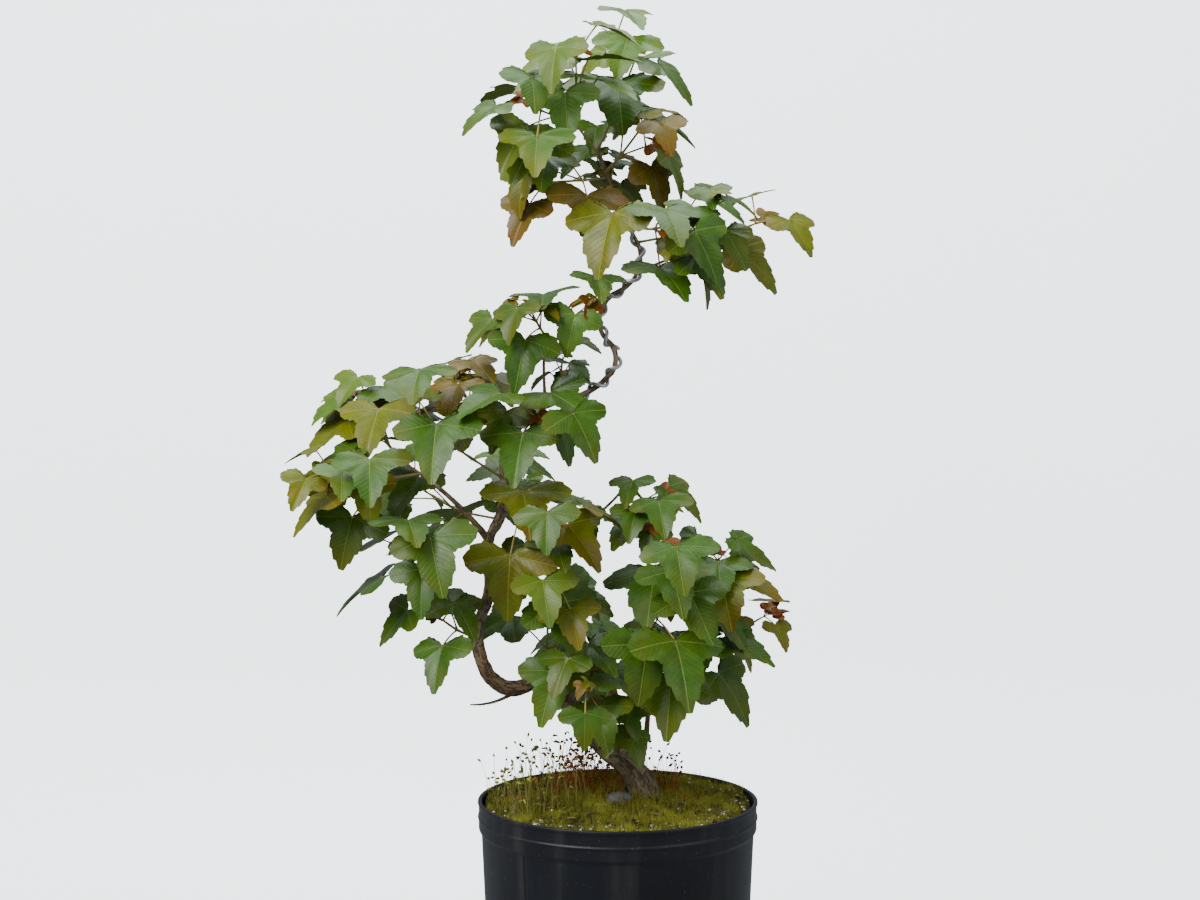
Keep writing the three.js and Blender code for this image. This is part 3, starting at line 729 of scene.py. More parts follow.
def too_near(shape: Shape, others: Iterable[Shape]) -> bool:
    """Tests whether a shape comes nearer than the clearance to any other.

    Args:
        shape: The shape.
        others: The other shapes.

    Returns:
        Whether it does.
    """
    close = [
        other
        for other in others
        if math.dist(shape.centre, other.centre) <= shape.reach + other.reach + CLEARANCE
    ]
    if not close:
        return False
    clears = [shape.thick + other.thick + CLEARANCE for other in close]

    def of_each(name: str) -> tuple[Numbers, Numbers]:
        """One part of every close shape, with its clearances."""
        parts = [getattr(other, name) for other in close]
        return np.concatenate(parts), np.repeat(clears, [len(part) for part in parts])

    edges, edge_clear = of_each("edges")
    if (segment_gaps(shape.edges, edges) < edge_clear).any():
        return True
    faces, face_clear = of_each("faces")
    if meets_faces(shape.points, shape.edges, faces, face_clear):
        return True
    points, point_clear = of_each("points")
    return meets_faces(points, edges, shape.faces, point_clear[:, None])


def strayed(heading: Numbers, amount: float, draw: Draw) -> Numbers:
    """Turns a heading at random.

    Args:
        heading: The heading.
        amount: By up to how much.
        draw: The draw.

    Returns:
        The unit heading.
    """
    stray = np.array([draw() - 0.5 for _ in range(3)])
    return unit(heading + stray * (2 * amount))


def place_leaf(point: Numbers, heading: Numbers, out: Numbers, size: float, draw: Draw) -> Leaf:
    """Places a leaf: its stalk goes out and up, and its blade turns to the light and hangs.

    Args:
        point: The node.
        heading: The shoot's heading there.
        out: The side that the leaf is on.
        size: Its midrib's length.
        draw: The draw.

    Returns:
        The leaf.
    """
    lead = heading * STALK["on"] + out * STALK["out"] + UP * STALK["up"]
    reach = strayed(lead, STALK["stray"], draw)
    base = point + reach * (size * lerp(STALK["least"], STALK["most"], draw()))
    face = strayed(LIGHT + reach * 0.5, BLADE["stray"], draw)
    hang = reach * 0.5 - UP * 0.8
    midrib = unit(hang - face * float(hang @ face))
    return Leaf(point, reach, base, size, face, midrib, unit(np.cross(midrib, face)))


class MassGrower:
    """Grows one mass of foliage from its limb."""

    def __init__(self, mass: Mass, limb: Limb, obstacles: Sequence[Shape]) -> None:
        """Works out the mass's space.

        Args:
            mass: The mass's sizes.
            limb: The limb that it grows from.
            obstacles: What it keeps clear of.
        """
        self.mass = mass
        self.first = heading_of(mass.heading)
        self.seat = limb.seat(mass.at)
        self.bark = limb.radius(min(mass.at, limb.path.length))
        self.centre = self.seat + self.first * (mass.length / 2)
        self.space = mass.length / 2 + mass.leaf * SPACE_MARGIN
        middle = tuple(self.centre)
        self.near = [s for s in obstacles if math.dist(s.centre, middle) < self.space + s.reach]
        own = {id(shape) for shape in limb.shapes}
        self.strangers = [shape for shape in self.near if id(shape) not in own]
        self.grown = Growth(mass)

    def fits(self, shape: Shape) -> bool:
        """Tests whether a shape stays in the mass's space and touches nothing.

        Args:
            shape: The shape.

        Returns:
            Whether it does.
        """
        away = np.sqrt(((shape.points - self.centre) ** 2).sum(1))
        if (away >= self.space).any() or (shape.points[:, 2] <= LOWEST_GROWTH).any():
            return False
        return not too_near(shape, self.near) and not too_near(shape, self.grown.shapes)

    def grow(self) -> Growth:
        """Grows the mass.

        Returns:
            What grew.
        """
        stem = stick_shape(
            self.seat + self.first * (self.bark + CLEARANCE),
            self.seat + self.first * (3 * self.bark),
            SHOOT["thick"] / 2,
        )
        if too_near(stem, self.strangers):
            return self.grown
        waiting = [Shoot(self.seat, self.first, self.mass.length, self.mass.nodes, 0, 0)]
        while waiting:
            waiting.extend(self.grow_shoot(waiting.pop(0)))
        return self.grown

    def grow_shoot(self, shoot: Shoot) -> list[Shoot]:
        """Grows one shoot, pair by pair.

        Args:
            shoot: The shoot.

        Returns:
            Its side shoots.
        """
        draw = seeded_draws(self.mass.seed, shoot.mark)
        roll = draw() * math.pi
        point, heading = shoot.point, shoot.heading
        shoot.rings.append((point, SHOOT["thick"] / (2 + shoot.order)))
        forks: list[Shoot] = []
        for k in range(shoot.nodes):
            bare = SHOOT["bare"] if shoot.nodes > 1 else 1
            step = shoot.length * (bare if k == 0 else (1 - bare) / (shoot.nodes - 1))
            radius = lerp(SHOOT["thick"], SHOOT["tip"], (k + shoot.order) / (shoot.nodes + 1)) / 2
            heading = strayed(heading + UP * (SHOOT["lift"] if k else 0), SHOOT["stray"], draw)
            end = point + heading * step
            free = (2.4 * self.bark + 2.5, 2 * radius + 3)[shoot.order] if k == 0 else step / 2
            if not self.fits(stick_shape(point + heading * free, end, radius)):
                break
            shoot.rings.append((end, radius))
            self.grown.shapes.append(stick_shape(point, end, radius))
            point = end
            level = unit(np.cross(UP, heading))
            for turn in (0, 1):
                out = turned(level, heading, roll + math.pi * (k / 2 + turn))
                forks.extend(self.grow_pair_side(shoot, k, turn, point, heading, out, radius))
        if len(shoot.rings) > 1:
            shoot.rings[-1] = (point + heading * SHOOT["bud"], shoot.rings[-1][1])
            shoot.heading = heading
            self.grown.shoots.append(shoot)
        return forks

    def grow_pair_side(
        self,
        shoot: Shoot,
        k: int,
        turn: int,
        point: Numbers,
        heading: Numbers,
        out: Numbers,
        radius: float,
    ) -> list[Shoot]:
        """Grows one leaf of a pair, and the side shoot in its axil.

        Args:
            shoot: The shoot that the pair stands on.
            k: The pair's number along it.
            turn: Which leaf of the pair.
            point: The node.
            heading: The shoot's heading there.
            out: The leaf's side.
            radius: The shoot's radius there.

        Returns:
            The side shoot, if there is one.
        """
        mass = self.mass
        own = seeded_draws(mass.seed, shoot.mark, k + 1, turn)
        size = mass.leaf * (1 - 0.3 * k / shoot.nodes) * (1 - 0.12 * shoot.order) * lerp(0.75, 1.1, own())
        forks = []
        if shoot.order == 0 and k < shoot.nodes - 1 and own() < mass.fork:
            forks.append(
                Shoot(
                    point,
                    unit(heading + out * 0.75 + UP * 0.25),
                    mass.length * lerp(0.4, 0.65, own()),
                    max(1, shoot.nodes - 1 - k),
                    1,
                    1 + 2 * k + turn,
                )
            )
        for _ in range(ATTEMPTS):
            leaf = place_leaf(point, heading, out, size, own)
            stalk = stick_shape(leaf.root + leaf.reach * (2 * radius + 2), leaf.base, STALK["thick"] / 2)
            blade = blade_shape(leaf)
            if self.fits(stalk) and self.fits(blade):
                self.grown.leaves.append(leaf)
                self.grown.shapes += [stalk, blade]
                break
        return forks


def grow_tree() -> tuple[dict[str, Limb], list[Growth]]:
    """Grows the whole tree, in the part's order.

    Returns:
        The limbs by name, and what each mass grew.
    """
    limbs = grow_limbs()
    obstacles = [shape for limb in limbs.values() for shape in limb.shapes]
    for wire in WIRES:
        path = wire_path(wire, limbs["trunk"], WIRE_STEPS, WIRE_BED)
        obstacles += Limb(path, lambda at: WIRE_THICK / 2).cover(WIRE_STRETCH).shapes
    masses = []
    for mass in MASSES:
        grown = MassGrower(mass, limbs[mass.on], obstacles).grow()
        obstacles += grown.shapes
        masses.append(grown)
    return limbs, masses


# Shaders


class Value:
    """A number, colour or vector worked out in a shader. Arithmetic on it adds maths nodes."""

    def __init__(self, graph: "Graph", socket: bpy.types.NodeSocket) -> None:
        """Holds a socket.

        Args:
            graph: The graph that the socket is in.
            socket: The output.
        """
        self.graph = graph
        self.socket = socket

    def _math(self, operation: str, *operands: Any) -> "Value":
        """Adds a maths node."""
        return self.graph.node("ShaderNodeMath", {"operation": operation}, dict(enumerate(operands)))

    def __add__(self, other: Any) -> "Value":
        """Adds."""
        return self._math("ADD", self, other)

    def __sub__(self, other: Any) -> "Value":
        """Takes away."""
        return self._math("SUBTRACT", self, other)

    def __rsub__(self, other: Any) -> "Value":
        """Is taken away."""
        return self._math("SUBTRACT", other, self)

    def __mul__(self, other: Any) -> "Value":
        """Multiplies."""
        return self._math("MULTIPLY", self, other)

    def __abs__(self) -> "Value":
        """Drops the sign."""
        return self._math("ABSOLUTE", self)

    __radd__ = __add__
    __rmul__ = __mul__

    def fraction(self) -> "Value":
        """Keeps what is past the whole number."""
        return self._math("FRACT", self)

    def above(self, low: float, high: float) -> "Value":
        """Rises smoothly from 0 to 1.

        Args:
            low: Where it leaves 0.
            high: Where it reaches 1; it may be the lower of the two.

        Returns:
            The share.
        """
        if low > high:
            return 1 - self.above(high, low)
        settings = {"interpolation_type": "SMOOTHSTEP"}
        return self.graph.node("ShaderNodeMapRange", settings, {0: self, 1: low, 2: high})

    def most(self, other: Any) -> "Value":
        """Takes the greater of two."""
        return self._math("MAXIMUM", self, other)


class Graph:
    """One material's nodes, fed into one principled shader."""

    def __init__(self, name: str) -> None:
        """Starts a material.

        Args:
            name: The material's name.
        """
        self.material = bpy.data.materials.new(name)
        self.material.use_nodes = True
        self.tree = self.material.node_tree
        self.tree.nodes.clear()

    def node(
        self,
        kind: str,
        settings: Optional[Mapping[str, Any]] = None,
        inputs: Optional[Mapping[Union[str, int], Any]] = None,
        output: Union[str, int] = 0,
    ) -> Value:
        """Adds a node.

        Args:
            kind: Its type.
            settings: Its own properties.
            inputs: A number, colour or Value for each of its inputs, by name or number.
            output: Which output to give back.

        Returns:
            The output.
        """
        made = self.tree.nodes.new(kind)
        for name, value in (settings or {}).items():
            setattr(made, name, value)
        for key, value in (inputs or {}).items():
            if isinstance(value, Value):
                self.tree.links.new(value.socket, made.inputs[key])
            else:
                made.inputs[key].default_value = value
        return Value(self, made.outputs[output])

    def place(self) -> Value:
        """The place on the object, in metres."""
        return self.node("ShaderNodeTexCoord", output="Object")

    def attribute(self, name: str) -> Value:
        """A vector that the mesh carries."""
        return self.node("ShaderNodeAttribute", {"attribute_name": name}, output="Vector")

    def number(self, name: str) -> Value:
        """A number that the mesh carries."""
        return self.node("ShaderNodeAttribute", {"attribute_name": name}, output="Fac")

    def parts(self, vector: Value) -> tuple[Value, Value, Value]:
        """Parts a vector.

        Args:
            vector: The vector.

        Returns:
            Its X, Y and Z.
        """
        made = self.tree.nodes.new("ShaderNodeSeparateXYZ")
        self.tree.links.new(vector.socket, made.inputs[0])
        return tuple(Value(self, socket) for socket in made.outputs)

    def stretched(self, vector: Value, scale: tuple[float, float, float]) -> Value:
        """Scales a vector's axes.

        Args:
            vector: The vector.
            scale: The factor for each axis.

        Returns:
            The scaled vector.
        """
        return self.node("ShaderNodeVectorMath", {"operation": "MULTIPLY"}, {0: vector, 1: scale})

    def noise(self, vector: Value, scale: float, detail: float = 3, rough: float = 0.55) -> Value:
        """Smooth noise from 0 to 1.

        Args:
            vector: Where.
            scale: How fine.
            detail: How many finer layers it has.
            rough: How strong those are.

        Returns:
            The noise.
        """
        inputs = {"Vector": vector, "Scale": scale, "Detail": detail, "Roughness": rough}
        return self.node("ShaderNodeTexNoise", None, inputs)

    def cells(self, vector: Value, scale: float) -> Value:
        """The distance to the nearest of scattered points.

        Args:
            vector: Where.
            scale: How fine.

        Returns:
            The distance, in cells.
        """
        return self.node("ShaderNodeTexVoronoi", None, {"Vector": vector, "Scale": scale})

    def mix(self, share: Any, low: Any, high: Any) -> Value:
        """Mixes two colours.

        Args:
            share: How much of the second.
            low: The first colour.
            high: The second.

        Returns:
            The colour.
        """
        inputs = {0: share, 6: opaque(low), 7: opaque(high)}
        return self.node("ShaderNodeMix", {"data_type": "RGBA"}, inputs, 2)

    def bump(self, height: Value, depth: float, strength: float = 1.0) -> Value:
        """Turns a height into a normal.

        Args:
            height: From 0 to 1.
            depth: How deep that is, in metres.
            strength: How much of it shows.

        Returns:
            The normal.
        """
        inputs = {"Height": height, "Distance": depth, "Strength": strength}
        return self.node("ShaderNodeBump", None, inputs)

    def finish(self, inputs: Mapping[str, Any]) -> bpy.types.Material:
        """Adds the principled shader and the output.

        Args:
            inputs: What goes into the shader.

        Returns:
            The material.
        """
        shader = self.node("ShaderNodeBsdfPrincipled", None, inputs)
        output = self.tree.nodes.new("ShaderNodeOutputMaterial")
        self.tree.links.new(shader.socket, output.inputs["Surface"])
        return self.material


Colour = tuple[float, float, float]


def scaled(colour: Colour, share: float) -> Colour:
    """A share of a colour."""
    return tuple(share * part for part in colour)


def opaque(colour: Any) -> Any:
    """Gives a plain colour its alpha.

    Args:
        colour: Three numbers, or a Value.

    Returns:
        Four numbers, or the Value.
    """
    return colour if isinstance(colour, Value) else (*colour, 1.0)


@dataclass(frozen=True)
class Finish(ABC):
    """A surface finish, made into one material."""

    name: str

    @abstractmethod
    def inputs(self, graph: Graph) -> dict[str, Any]:
        """Works out the shader's inputs.

        Args:
            graph: The material's graph.

        Returns:
            The inputs by name.
        """

    def material(self) -> bpy.types.Material:
        """Makes the material, once.

        Returns:
            The material.
        """
        made = bpy.data.materials.get(self.name)
        if made is None:
            graph = Graph(self.name)
            made = graph.finish(self.inputs(graph))
        return made


@dataclass(frozen=True)
class LeafFinish(Finish):
    """A blade with paler veins, mottled between them."""

    blade: Colour
    deep: Colour
    vein: Colour
    edge: Colour
    rough: float = 0.24

    def inputs(self, graph: Graph) -> dict[str, Any]:
        """Works out the veins from the place on the blade.

        Args:
            graph: The material's graph.

        Returns:
            The inputs by name.
        """
        out, on, shade = graph.parts(graph.attribute("blade"))
        out = abs(out)
        sine, cosine = round(math.sin(LOBE_ANGLE), 3), round(math.cos(LOBE_ANGLE), 3)
        lobe_on, lobe_out = out * sine + on * cosine, abs(on * sine - out * cosine)
        middle = out.above(0.014, 0.005)
        lobe = lobe_out.above(0.012, 0.004) * lobe_on.above(0.0, 0.02)
        fine_middle = self.ribs(graph, on - out * 0.9, 11)
        fine_lobe = self.ribs(graph, lobe_on - lobe_out * 0.9, 12)
        nearer_lobe = (lobe_out - out).above(0.03, -0.03)
        fine = nearer_lobe * fine_lobe + (1 - nearer_lobe) * fine_middle
        veins = middle.most(lobe).most(fine * 0.2)
        place = graph.place()
        mottle = graph.noise(place, 160, 4)
        patches = graph.noise(place, 30, 2)
        colour = graph.mix(mottle.above(0.3, 0.75), self.blade, self.deep)
        colour = graph.mix(shade * 0.5, colour, graph.mix(patches, self.deep, self.blade))
        rim = on.above(0.3, 0.95).most(lobe_on.above(0.3, 0.7))
        warmth = (rim * 0.5 + shade * 0.5) * patches.above(0.38, 0.62)
        colour = graph.mix(warmth * 0.8, colour, self.edge)
        colour = graph.mix(veins * 0.6, colour, self.vein)
        height = mottle * 0.25 + (1 - veins) * 0.75
        return {
            "Base Color": colour,
            "Roughness": mottle * 0.2 + self.rough,
            "Specular IOR Level": 0.36,
            "Normal": graph.bump(height, 0.0005, 0.8),
        }

    @staticmethod
    def ribs(graph: Graph, along: Value, count: float) -> Value:
        """Fine side veins.

        Args:
            graph: The material's graph; not used.
            along: How far along the main vein, slanted.
            count: How many stand on it.

        Returns:
            1 on a vein.
        """
        return abs((along * count).fraction() - 0.5).above(0.12, 0.03)


@dataclass(frozen=True)
class BarkFinish(Finish):
    """Bark with fissures along the limb, and a warmer stretch."""

    light: Colour
    dark: Colour
    warm: Colour
    grain: float
    depth: float
    warm_from: float = 1e3
    warm_to: float = 2e3
    mossy: Colour = (0.06, 0.045, 0.015)
    mossy_to: float = 1.0

    def inputs(self, graph: Graph) -> dict[str, Any]:
        """Works in the limb's own straightened space, in millimetres.

        Args:
            graph: The material's graph.

        Returns:
            The inputs by name.
        """
        straight = graph.attribute("straight")
        along = graph.parts(straight)[2]
        grained = graph.stretched(straight, (1, 1, 0.3))
        broad = graph.noise(grained, 0.16 * self.grain, 3)
        fine = graph.noise(grained, 0.6 * self.grain, 5, 0.65)
        fissure = abs(graph.noise(graph.stretched(straight, (1, 1, 0.25)), 0.42 * self.grain, 4) - 0.5)
        crack = fissure.above(0.05, 0.01)
        rings = graph.noise(graph.stretched(straight, (0.3, 0.3, 1)), 0.9, 2).above(0.58, 0.7)
        colour = graph.mix(broad.above(0.3, 0.7), self.dark, self.light)
        started = along.above(self.warm_from, self.warm_from + 25)
        lasting = along.above(self.warm_to, self.warm_to - 25)
        colour = graph.mix(started * lasting * fine.above(0.3, 0.6) * 0.8, colour, self.warm)
        colour = graph.mix(fine.above(0.45, 0.75) * 0.5, colour, self.light)
        dark = scaled(self.dark, 0.45)
        colour = graph.mix(crack * 0.6, colour, dark)
        colour = graph.mix(rings * 0.25, colour, dark)
        green = along.above(self.mossy_to, 0.0) * broad.above(0.3, 0.55)
        colour = graph.mix(green * 0.65, colour, self.mossy)
        height = (1 - crack) * 0.6 + fine * 0.4
        return {
            "Base Color": colour,
            "Roughness": fine * 0.2 + 0.65,
            "Specular IOR Level": 0.25,
            "Normal": graph.bump(height, self.depth, 1.0),
        }


@dataclass(frozen=True)
class StemFinish(Finish):
    """A stalk or a shoot, that changes colour towards its tip."""

    foot: Colour
    tip: Colour
    rough: float = 0.45

    def inputs(self, graph: Graph) -> dict[str, Any]:
        """Mixes by the share along the stem.

        Args:
            graph: The material's graph.

        Returns:
            The inputs by name.
        """
        share = graph.number("shade")
        grain = graph.noise(graph.place(), 900, 3)
        colour = graph.mix(share * 0.8 + grain * 0.3, self.foot, self.tip)
        return {
            "Base Color": colour,
            "Roughness": grain * 0.2 + self.rough,
            "Specular IOR Level": 0.25,
            "Normal": graph.bump(grain, 0.0001, 0.6),
        }


@dataclass(frozen=True)
class GrainFinish(Finish):
    """Many small things, each with its own shade between two colours."""

    low: Colour
    high: Colour
    rough: float = 0.8
    scale: float = 700
    depth: float = 0.0003

    def inputs(self, graph: Graph) -> dict[str, Any]:
        """Mixes by each thing's shade and a fine noise; on the moss blades and stems that shade also holds
        painted shade, darker at each foot.

        Args:
            graph: The material's graph.

        Returns:
            The inputs by name.
        """
        grain = graph.noise(graph.place(), self.scale, 3)
        share = graph.number("shade") * 0.75 + grain.above(0.3, 0.7) * 0.35
        return {
            "Base Color": graph.mix(share, self.low, self.high),
            "Roughness": grain * 0.15 + self.rough,
            "Specular IOR Level": 0.15,
            "Normal": graph.bump(grain, self.depth, 0.7),
        }


@dataclass(frozen=True)
class EarthFinish(Finish):
    """Damp ground in blotches of two colours."""

    low: Colour
    high: Colour
    scale: float = 90

    def inputs(self, graph: Graph) -> dict[str, Any]:
        """Blotches and crumbs.

        Args:
            graph: The material's graph.

        Returns:
            The inputs by name.
        """
        place = graph.place()
        blotch = graph.noise(place, self.scale, 4)
        crumbs = graph.cells(place, self.scale * 7)
        colour = graph.mix(blotch.above(0.35, 0.65), self.low, self.high)
        colour = graph.mix(crumbs.above(0.5, 0.9) * 0.6, colour, scaled(self.low, 0.4))
        return {
            "Base Color": colour,
            "Roughness": crumbs * 0.15 + 0.8,
            "Normal": graph.bump(1 - crumbs, 0.001, 0.8),
        }


@dataclass(frozen=True)
class StoneFinish(Finish):
    """A worn stone with faint bands and specks."""

    low: Colour
    high: Colour

    def inputs(self, graph: Graph) -> dict[str, Any]:
        """Bands, specks and a rough face.

        Args:
            graph: The material's graph.

        Returns:
            The inputs by name.
        """
        place = graph.place()
        bands = graph.noise(graph.stretched(place, (1, 1, 3)), 150, 4)
        specks = graph.noise(place, 1400, 2).above(0.6, 0.7)
        colour = graph.mix(bands.above(0.3, 0.7), self.low, self.high)
        colour = graph.mix(specks * 0.5, colour, scaled(self.low, 0.4))
        return {
            "Base Color": colour,
            "Roughness": bands * 0.2 + 0.6,
            "Normal": graph.bump(bands, 0.0008, 0.6),
        }


@dataclass(frozen=True)
class PlasticFinish(Finish):
    """Black moulded plastic, scuffed, with dust and dried splashes."""

    body: Colour
    sheen: Colour
    dust: Colour
    rim_height: float

    def inputs(self, graph: Graph) -> dict[str, Any]:
        """Sheen in soft clouds, dust near the rim, fine scratches.

        Args:
            graph: The material's graph.

        Returns:
            The inputs by name.
        """
        place = graph.place()
        height = graph.parts(place)[2]
        clouds = graph.noise(place, 14, 3)
        drips = graph.noise(graph.stretched(place, (1, 1, 0.12)), 60, 4)
        specks = graph.noise(place, 520, 2, 0.7).above(0.66, 0.74)
        near_rim = height.above(self.rim_height - 0.1, self.rim_height)
        film = drips.above(0.45, 0.8) * 0.35 * (near_rim * 0.7 + 0.3)
        colour = graph.mix(clouds.above(0.35, 0.7), self.body, self.sheen)
        colour = graph.mix(film, colour, self.dust)
        colour = graph.mix(specks * (near_rim * 0.5 + 0.1), colour, self.dust)
        scratches = graph.noise(graph.stretched(place, (1, 1, 14)), 30, 5, 0.7)
        return {
            "Base Color": colour,
            "Roughness": clouds * 0.1 + film * 0.5 + scratches * 0.08 + 0.3,
            "Specular IOR Level": 0.36,
            "Normal": graph.bump(scratches * 0.5 + clouds * 0.5, 0.0005, 0.25),
        }


@dataclass(frozen=True)
class WireFinish(Finish):
    """Dull drawn wire."""

    light: Colour
    dark: Colour

    def inputs(self, graph: Graph) -> dict[str, Any]:
        """Tarnish and draw marks.

        Args:
            graph: The material's graph.

        Returns:
            The inputs by name.
        """
        straight = graph.attribute("straight")
        marks = graph.noise(graph.stretched(straight, (1, 1, 0.08)), 2.2, 3)
        tarnish = graph.noise(straight, 0.18, 4)
        return {
            "Base Color": graph.mix(tarnish.above(0.35, 0.75), self.light, self.dark),
            "Metallic": 0.9,
            "Roughness": marks * 0.2 + tarnish * 0.2 + 0.22,
            "Normal": graph.bump(marks, 0.0002, 0.5),
        }


@dataclass(frozen=True)
class WallFinish(Finish):
    """The pale studio wall, evenly lit."""

    colour: Colour
    glow: float

    def inputs(self, graph: Graph) -> dict[str, Any]:
        """A faint unevenness in the wall.

        Args:
            graph: The material's graph.

        Returns:
            The inputs by name.
        """
        clouds = graph.noise(graph.place(), 3, 3)
        pale = graph.mix(clouds, self.colour, scaled(self.colour, 0.97))
        return {
            "Base Color": pale,
            "Roughness": clouds * 0.1 + 0.85,
            "Emission Color": pale,
            "Emission Strength": self.glow,
        }


# Meshes


class Batch:
    """Many small things joined into one mesh."""

    def __init__(self) -> None:
        """Starts empty."""
        self.points: list[Numbers] = []
        self.triangles: list[Numbers] = []
        self.carried: dict[str, list[Numbers]] = {}
        self.count = 0

    def add(self, points: Numbers, triangles: Numbers, **carried: Union[float, Numbers]) -> None:
        """Adds one thing.

        Args:
            points: Its places in millimetres.
            triangles: Its faces.
            carried: What its points carry: one number for all of them, or a number or vector for each.
        """
        self.points.append(points)
        self.triangles.append(triangles + self.count)
        for name, values in carried.items():
            spread = values if np.ndim(values) else np.full(len(points), values)
            self.carried.setdefault(name, []).append(spread)
        self.count += len(points)

    def mesh(self, name: str) -> bpy.types.Mesh:
        """Joins what was added.

        Args:
            name: The mesh's name.

        Returns:
            The mesh, smooth.
        """
        points = np.concatenate(self.points) * MM
        triangles = np.concatenate(self.triangles)
        mesh = bpy.data.meshes.new(name)
        mesh.vertices.add(len(points))
        mesh.vertices.foreach_set("co", points.ravel())
        mesh.loops.add(triangles.size)
        mesh.loops.foreach_set("vertex_index", triangles.ravel())
        mesh.polygons.add(len(triangles))
        mesh.polygons.foreach_set("loop_start", np.arange(0, triangles.size, 3))
        mesh.polygons.foreach_set("use_smooth", np.ones(len(triangles), bool))
        for key, parts in self.carried.items():
            values = np.concatenate(parts)
            kind, slot = ("FLOAT", "value") if values.ndim == 1 else ("FLOAT_VECTOR", "vector")
            mesh.attributes.new(key, kind, "POINT").data.foreach_set(slot, values.ravel())
        mesh.update(calc_edges=True)
        mesh.validate()
        return mesh


def smooth_run(points: Numbers, steps: int) -> Numbers:
    """Rounds a run of points.

    Args:
        points: The run, which the result goes through.
        steps: How many steps to make of each stretch.

    Returns:
        The rounded run.
    """
    ends = (2 * points[0] - points[1], *points, 2 * points[-1] - points[-2])
    shares = (np.arange(steps) / steps)[:, None]
    stretches = []
    for a, b, c, d in zip(ends, ends[1:], ends[2:], ends[3:]):
        curve = (2 * a - 5 * b + 4 * c - d, 3 * b - a - 3 * c + d)
        stretches.append(b + ((c - a) * shares + curve[0] * shares**2 + curve[1] * shares**3) / 2)
    return np.concatenate((*stretches, points[-1:]))


def ring_frames(points: Numbers) -> tuple[Numbers, Numbers]:
    """Finds two sides for each point of a run that turn as little as they can.

    Args:
        points: The run.

    Returns:
        The sides and the other sides.
    """
    headings = np.gradient(points, axis=0)
    side = np.array((0.0, 1.0, 0.0)) if abs(headings[0][1]) < 0.9 * np.linalg.norm(headings[0]) else UP
    sides = []
    for heading in headings:
        heading = heading / np.linalg.norm(heading)
        side = unit(side - heading * float(side @ heading))
        sides.append(side)
    sides = np.array(sides)
    across = np.cross(headings, sides)
    return sides, across / np.linalg.norm(across, axis=1, keepdims=True)


def tube_parts(points: Numbers, radii: Numbers, sides: int) -> tuple[Numbers, Numbers]:
    """A closed tube along a run, for a batch.

    Args:
        points: Its middle line.
        radii: Its radius at each point.
        sides: How many sides it has.

    Returns:
        Its points and its triangles.
    """
    one, two = ring_frames(points)
    angles = TAU * np.arange(sides) / sides
    circle = np.cos(angles)[None, :, None] * one[:, None] + np.sin(angles)[None, :, None] * two[:, None]
    rings = (points[:, None] + circle * radii[:, None, None]).reshape(-1, 3)
    count = len(points)
    k, j = np.meshgrid(np.arange(count - 1), np.arange(sides), indexing="ij")
    a, b = k * sides + j, k * sides + (j + 1) % sides
    walls = np.concatenate((np.stack((a, b, b + sides), -1), np.stack((a, b + sides, a + sides), -1)))
    first, last = len(rings), len(rings) + 1
    j = np.arange(sides)
    low = np.stack((np.full(sides, first), (j + 1) % sides, j), -1)
    top = (count - 1) * sides
    high = np.stack((np.full(sides, last), top + j, top + (j + 1) % sides), -1)
    triangles = np.concatenate((walls.reshape(-1, 3), low, high))
    return np.concatenate((rings, points[:1], points[-1:])), triangles


def bark_tube(
    path: Path,
    radius_at: Callable[[float, float], float],
    start: float,
    end: float,
    stride: float,
    sides: int,
) -> bmesh.types.BMesh:
    """A closed tube with its own relief, which carries each point's place in the straightened limb.

    Args:
        path: Its middle line.
        radius_at: Its radius at a length along and an angle round it.
        start: Where it starts on the path.
        end: Where it ends.
        stride: How far apart its rings are.
        sides: How many sides it has.

    Returns:
        The bmesh.
    """
    count = max(2, round((end - start) / stride))
    ats = np.linspace(start, end, count + 1)
    points = np.array([path.point(at) for at in ats])
    one, two = ring_frames(points)
    bm = bmesh.new()
    straight = bm.verts.layers.float_vector.new("straight")
    ring = bmesh.ops.create_circle(bm, cap_ends=False, segments=sides, radius=1)["verts"]
    edges = list(bm.edges)
    foot = ring
    order = {vert: i for i, vert in enumerate(ring)}
    for k, at in enumerate(ats):
        if k:
            made = bmesh.ops.extrude_edge_only(bm, edges=edges)["geom"]
            ring = [part for part in made if isinstance(part, bmesh.types.BMVert)]
            edges = [part for part in made if isinstance(part, bmesh.types.BMEdge)]
            pairs = [(vert, edge.other_vert(vert)) for vert in ring for edge in vert.link_edges]
            order = {vert: order[under] for vert, under in pairs if under in order}
        for vert, i in order.items():
            angle = TAU * i / sides
            radius = radius_at(at, angle)
            out = one[k] * math.cos(angle) + two[k] * math.sin(angle)
            vert.co = Vector((points[k] + out * radius) * MM)
            vert[straight] = Vector((math.cos(angle) * radius, math.sin(angle) * radius, at))
    bmesh.ops.contextual_create(bm, geom=foot)
    bmesh.ops.contextual_create(bm, geom=ring)
    bmesh.ops.recalc_face_normals(bm, faces=bm.faces)
    return bm


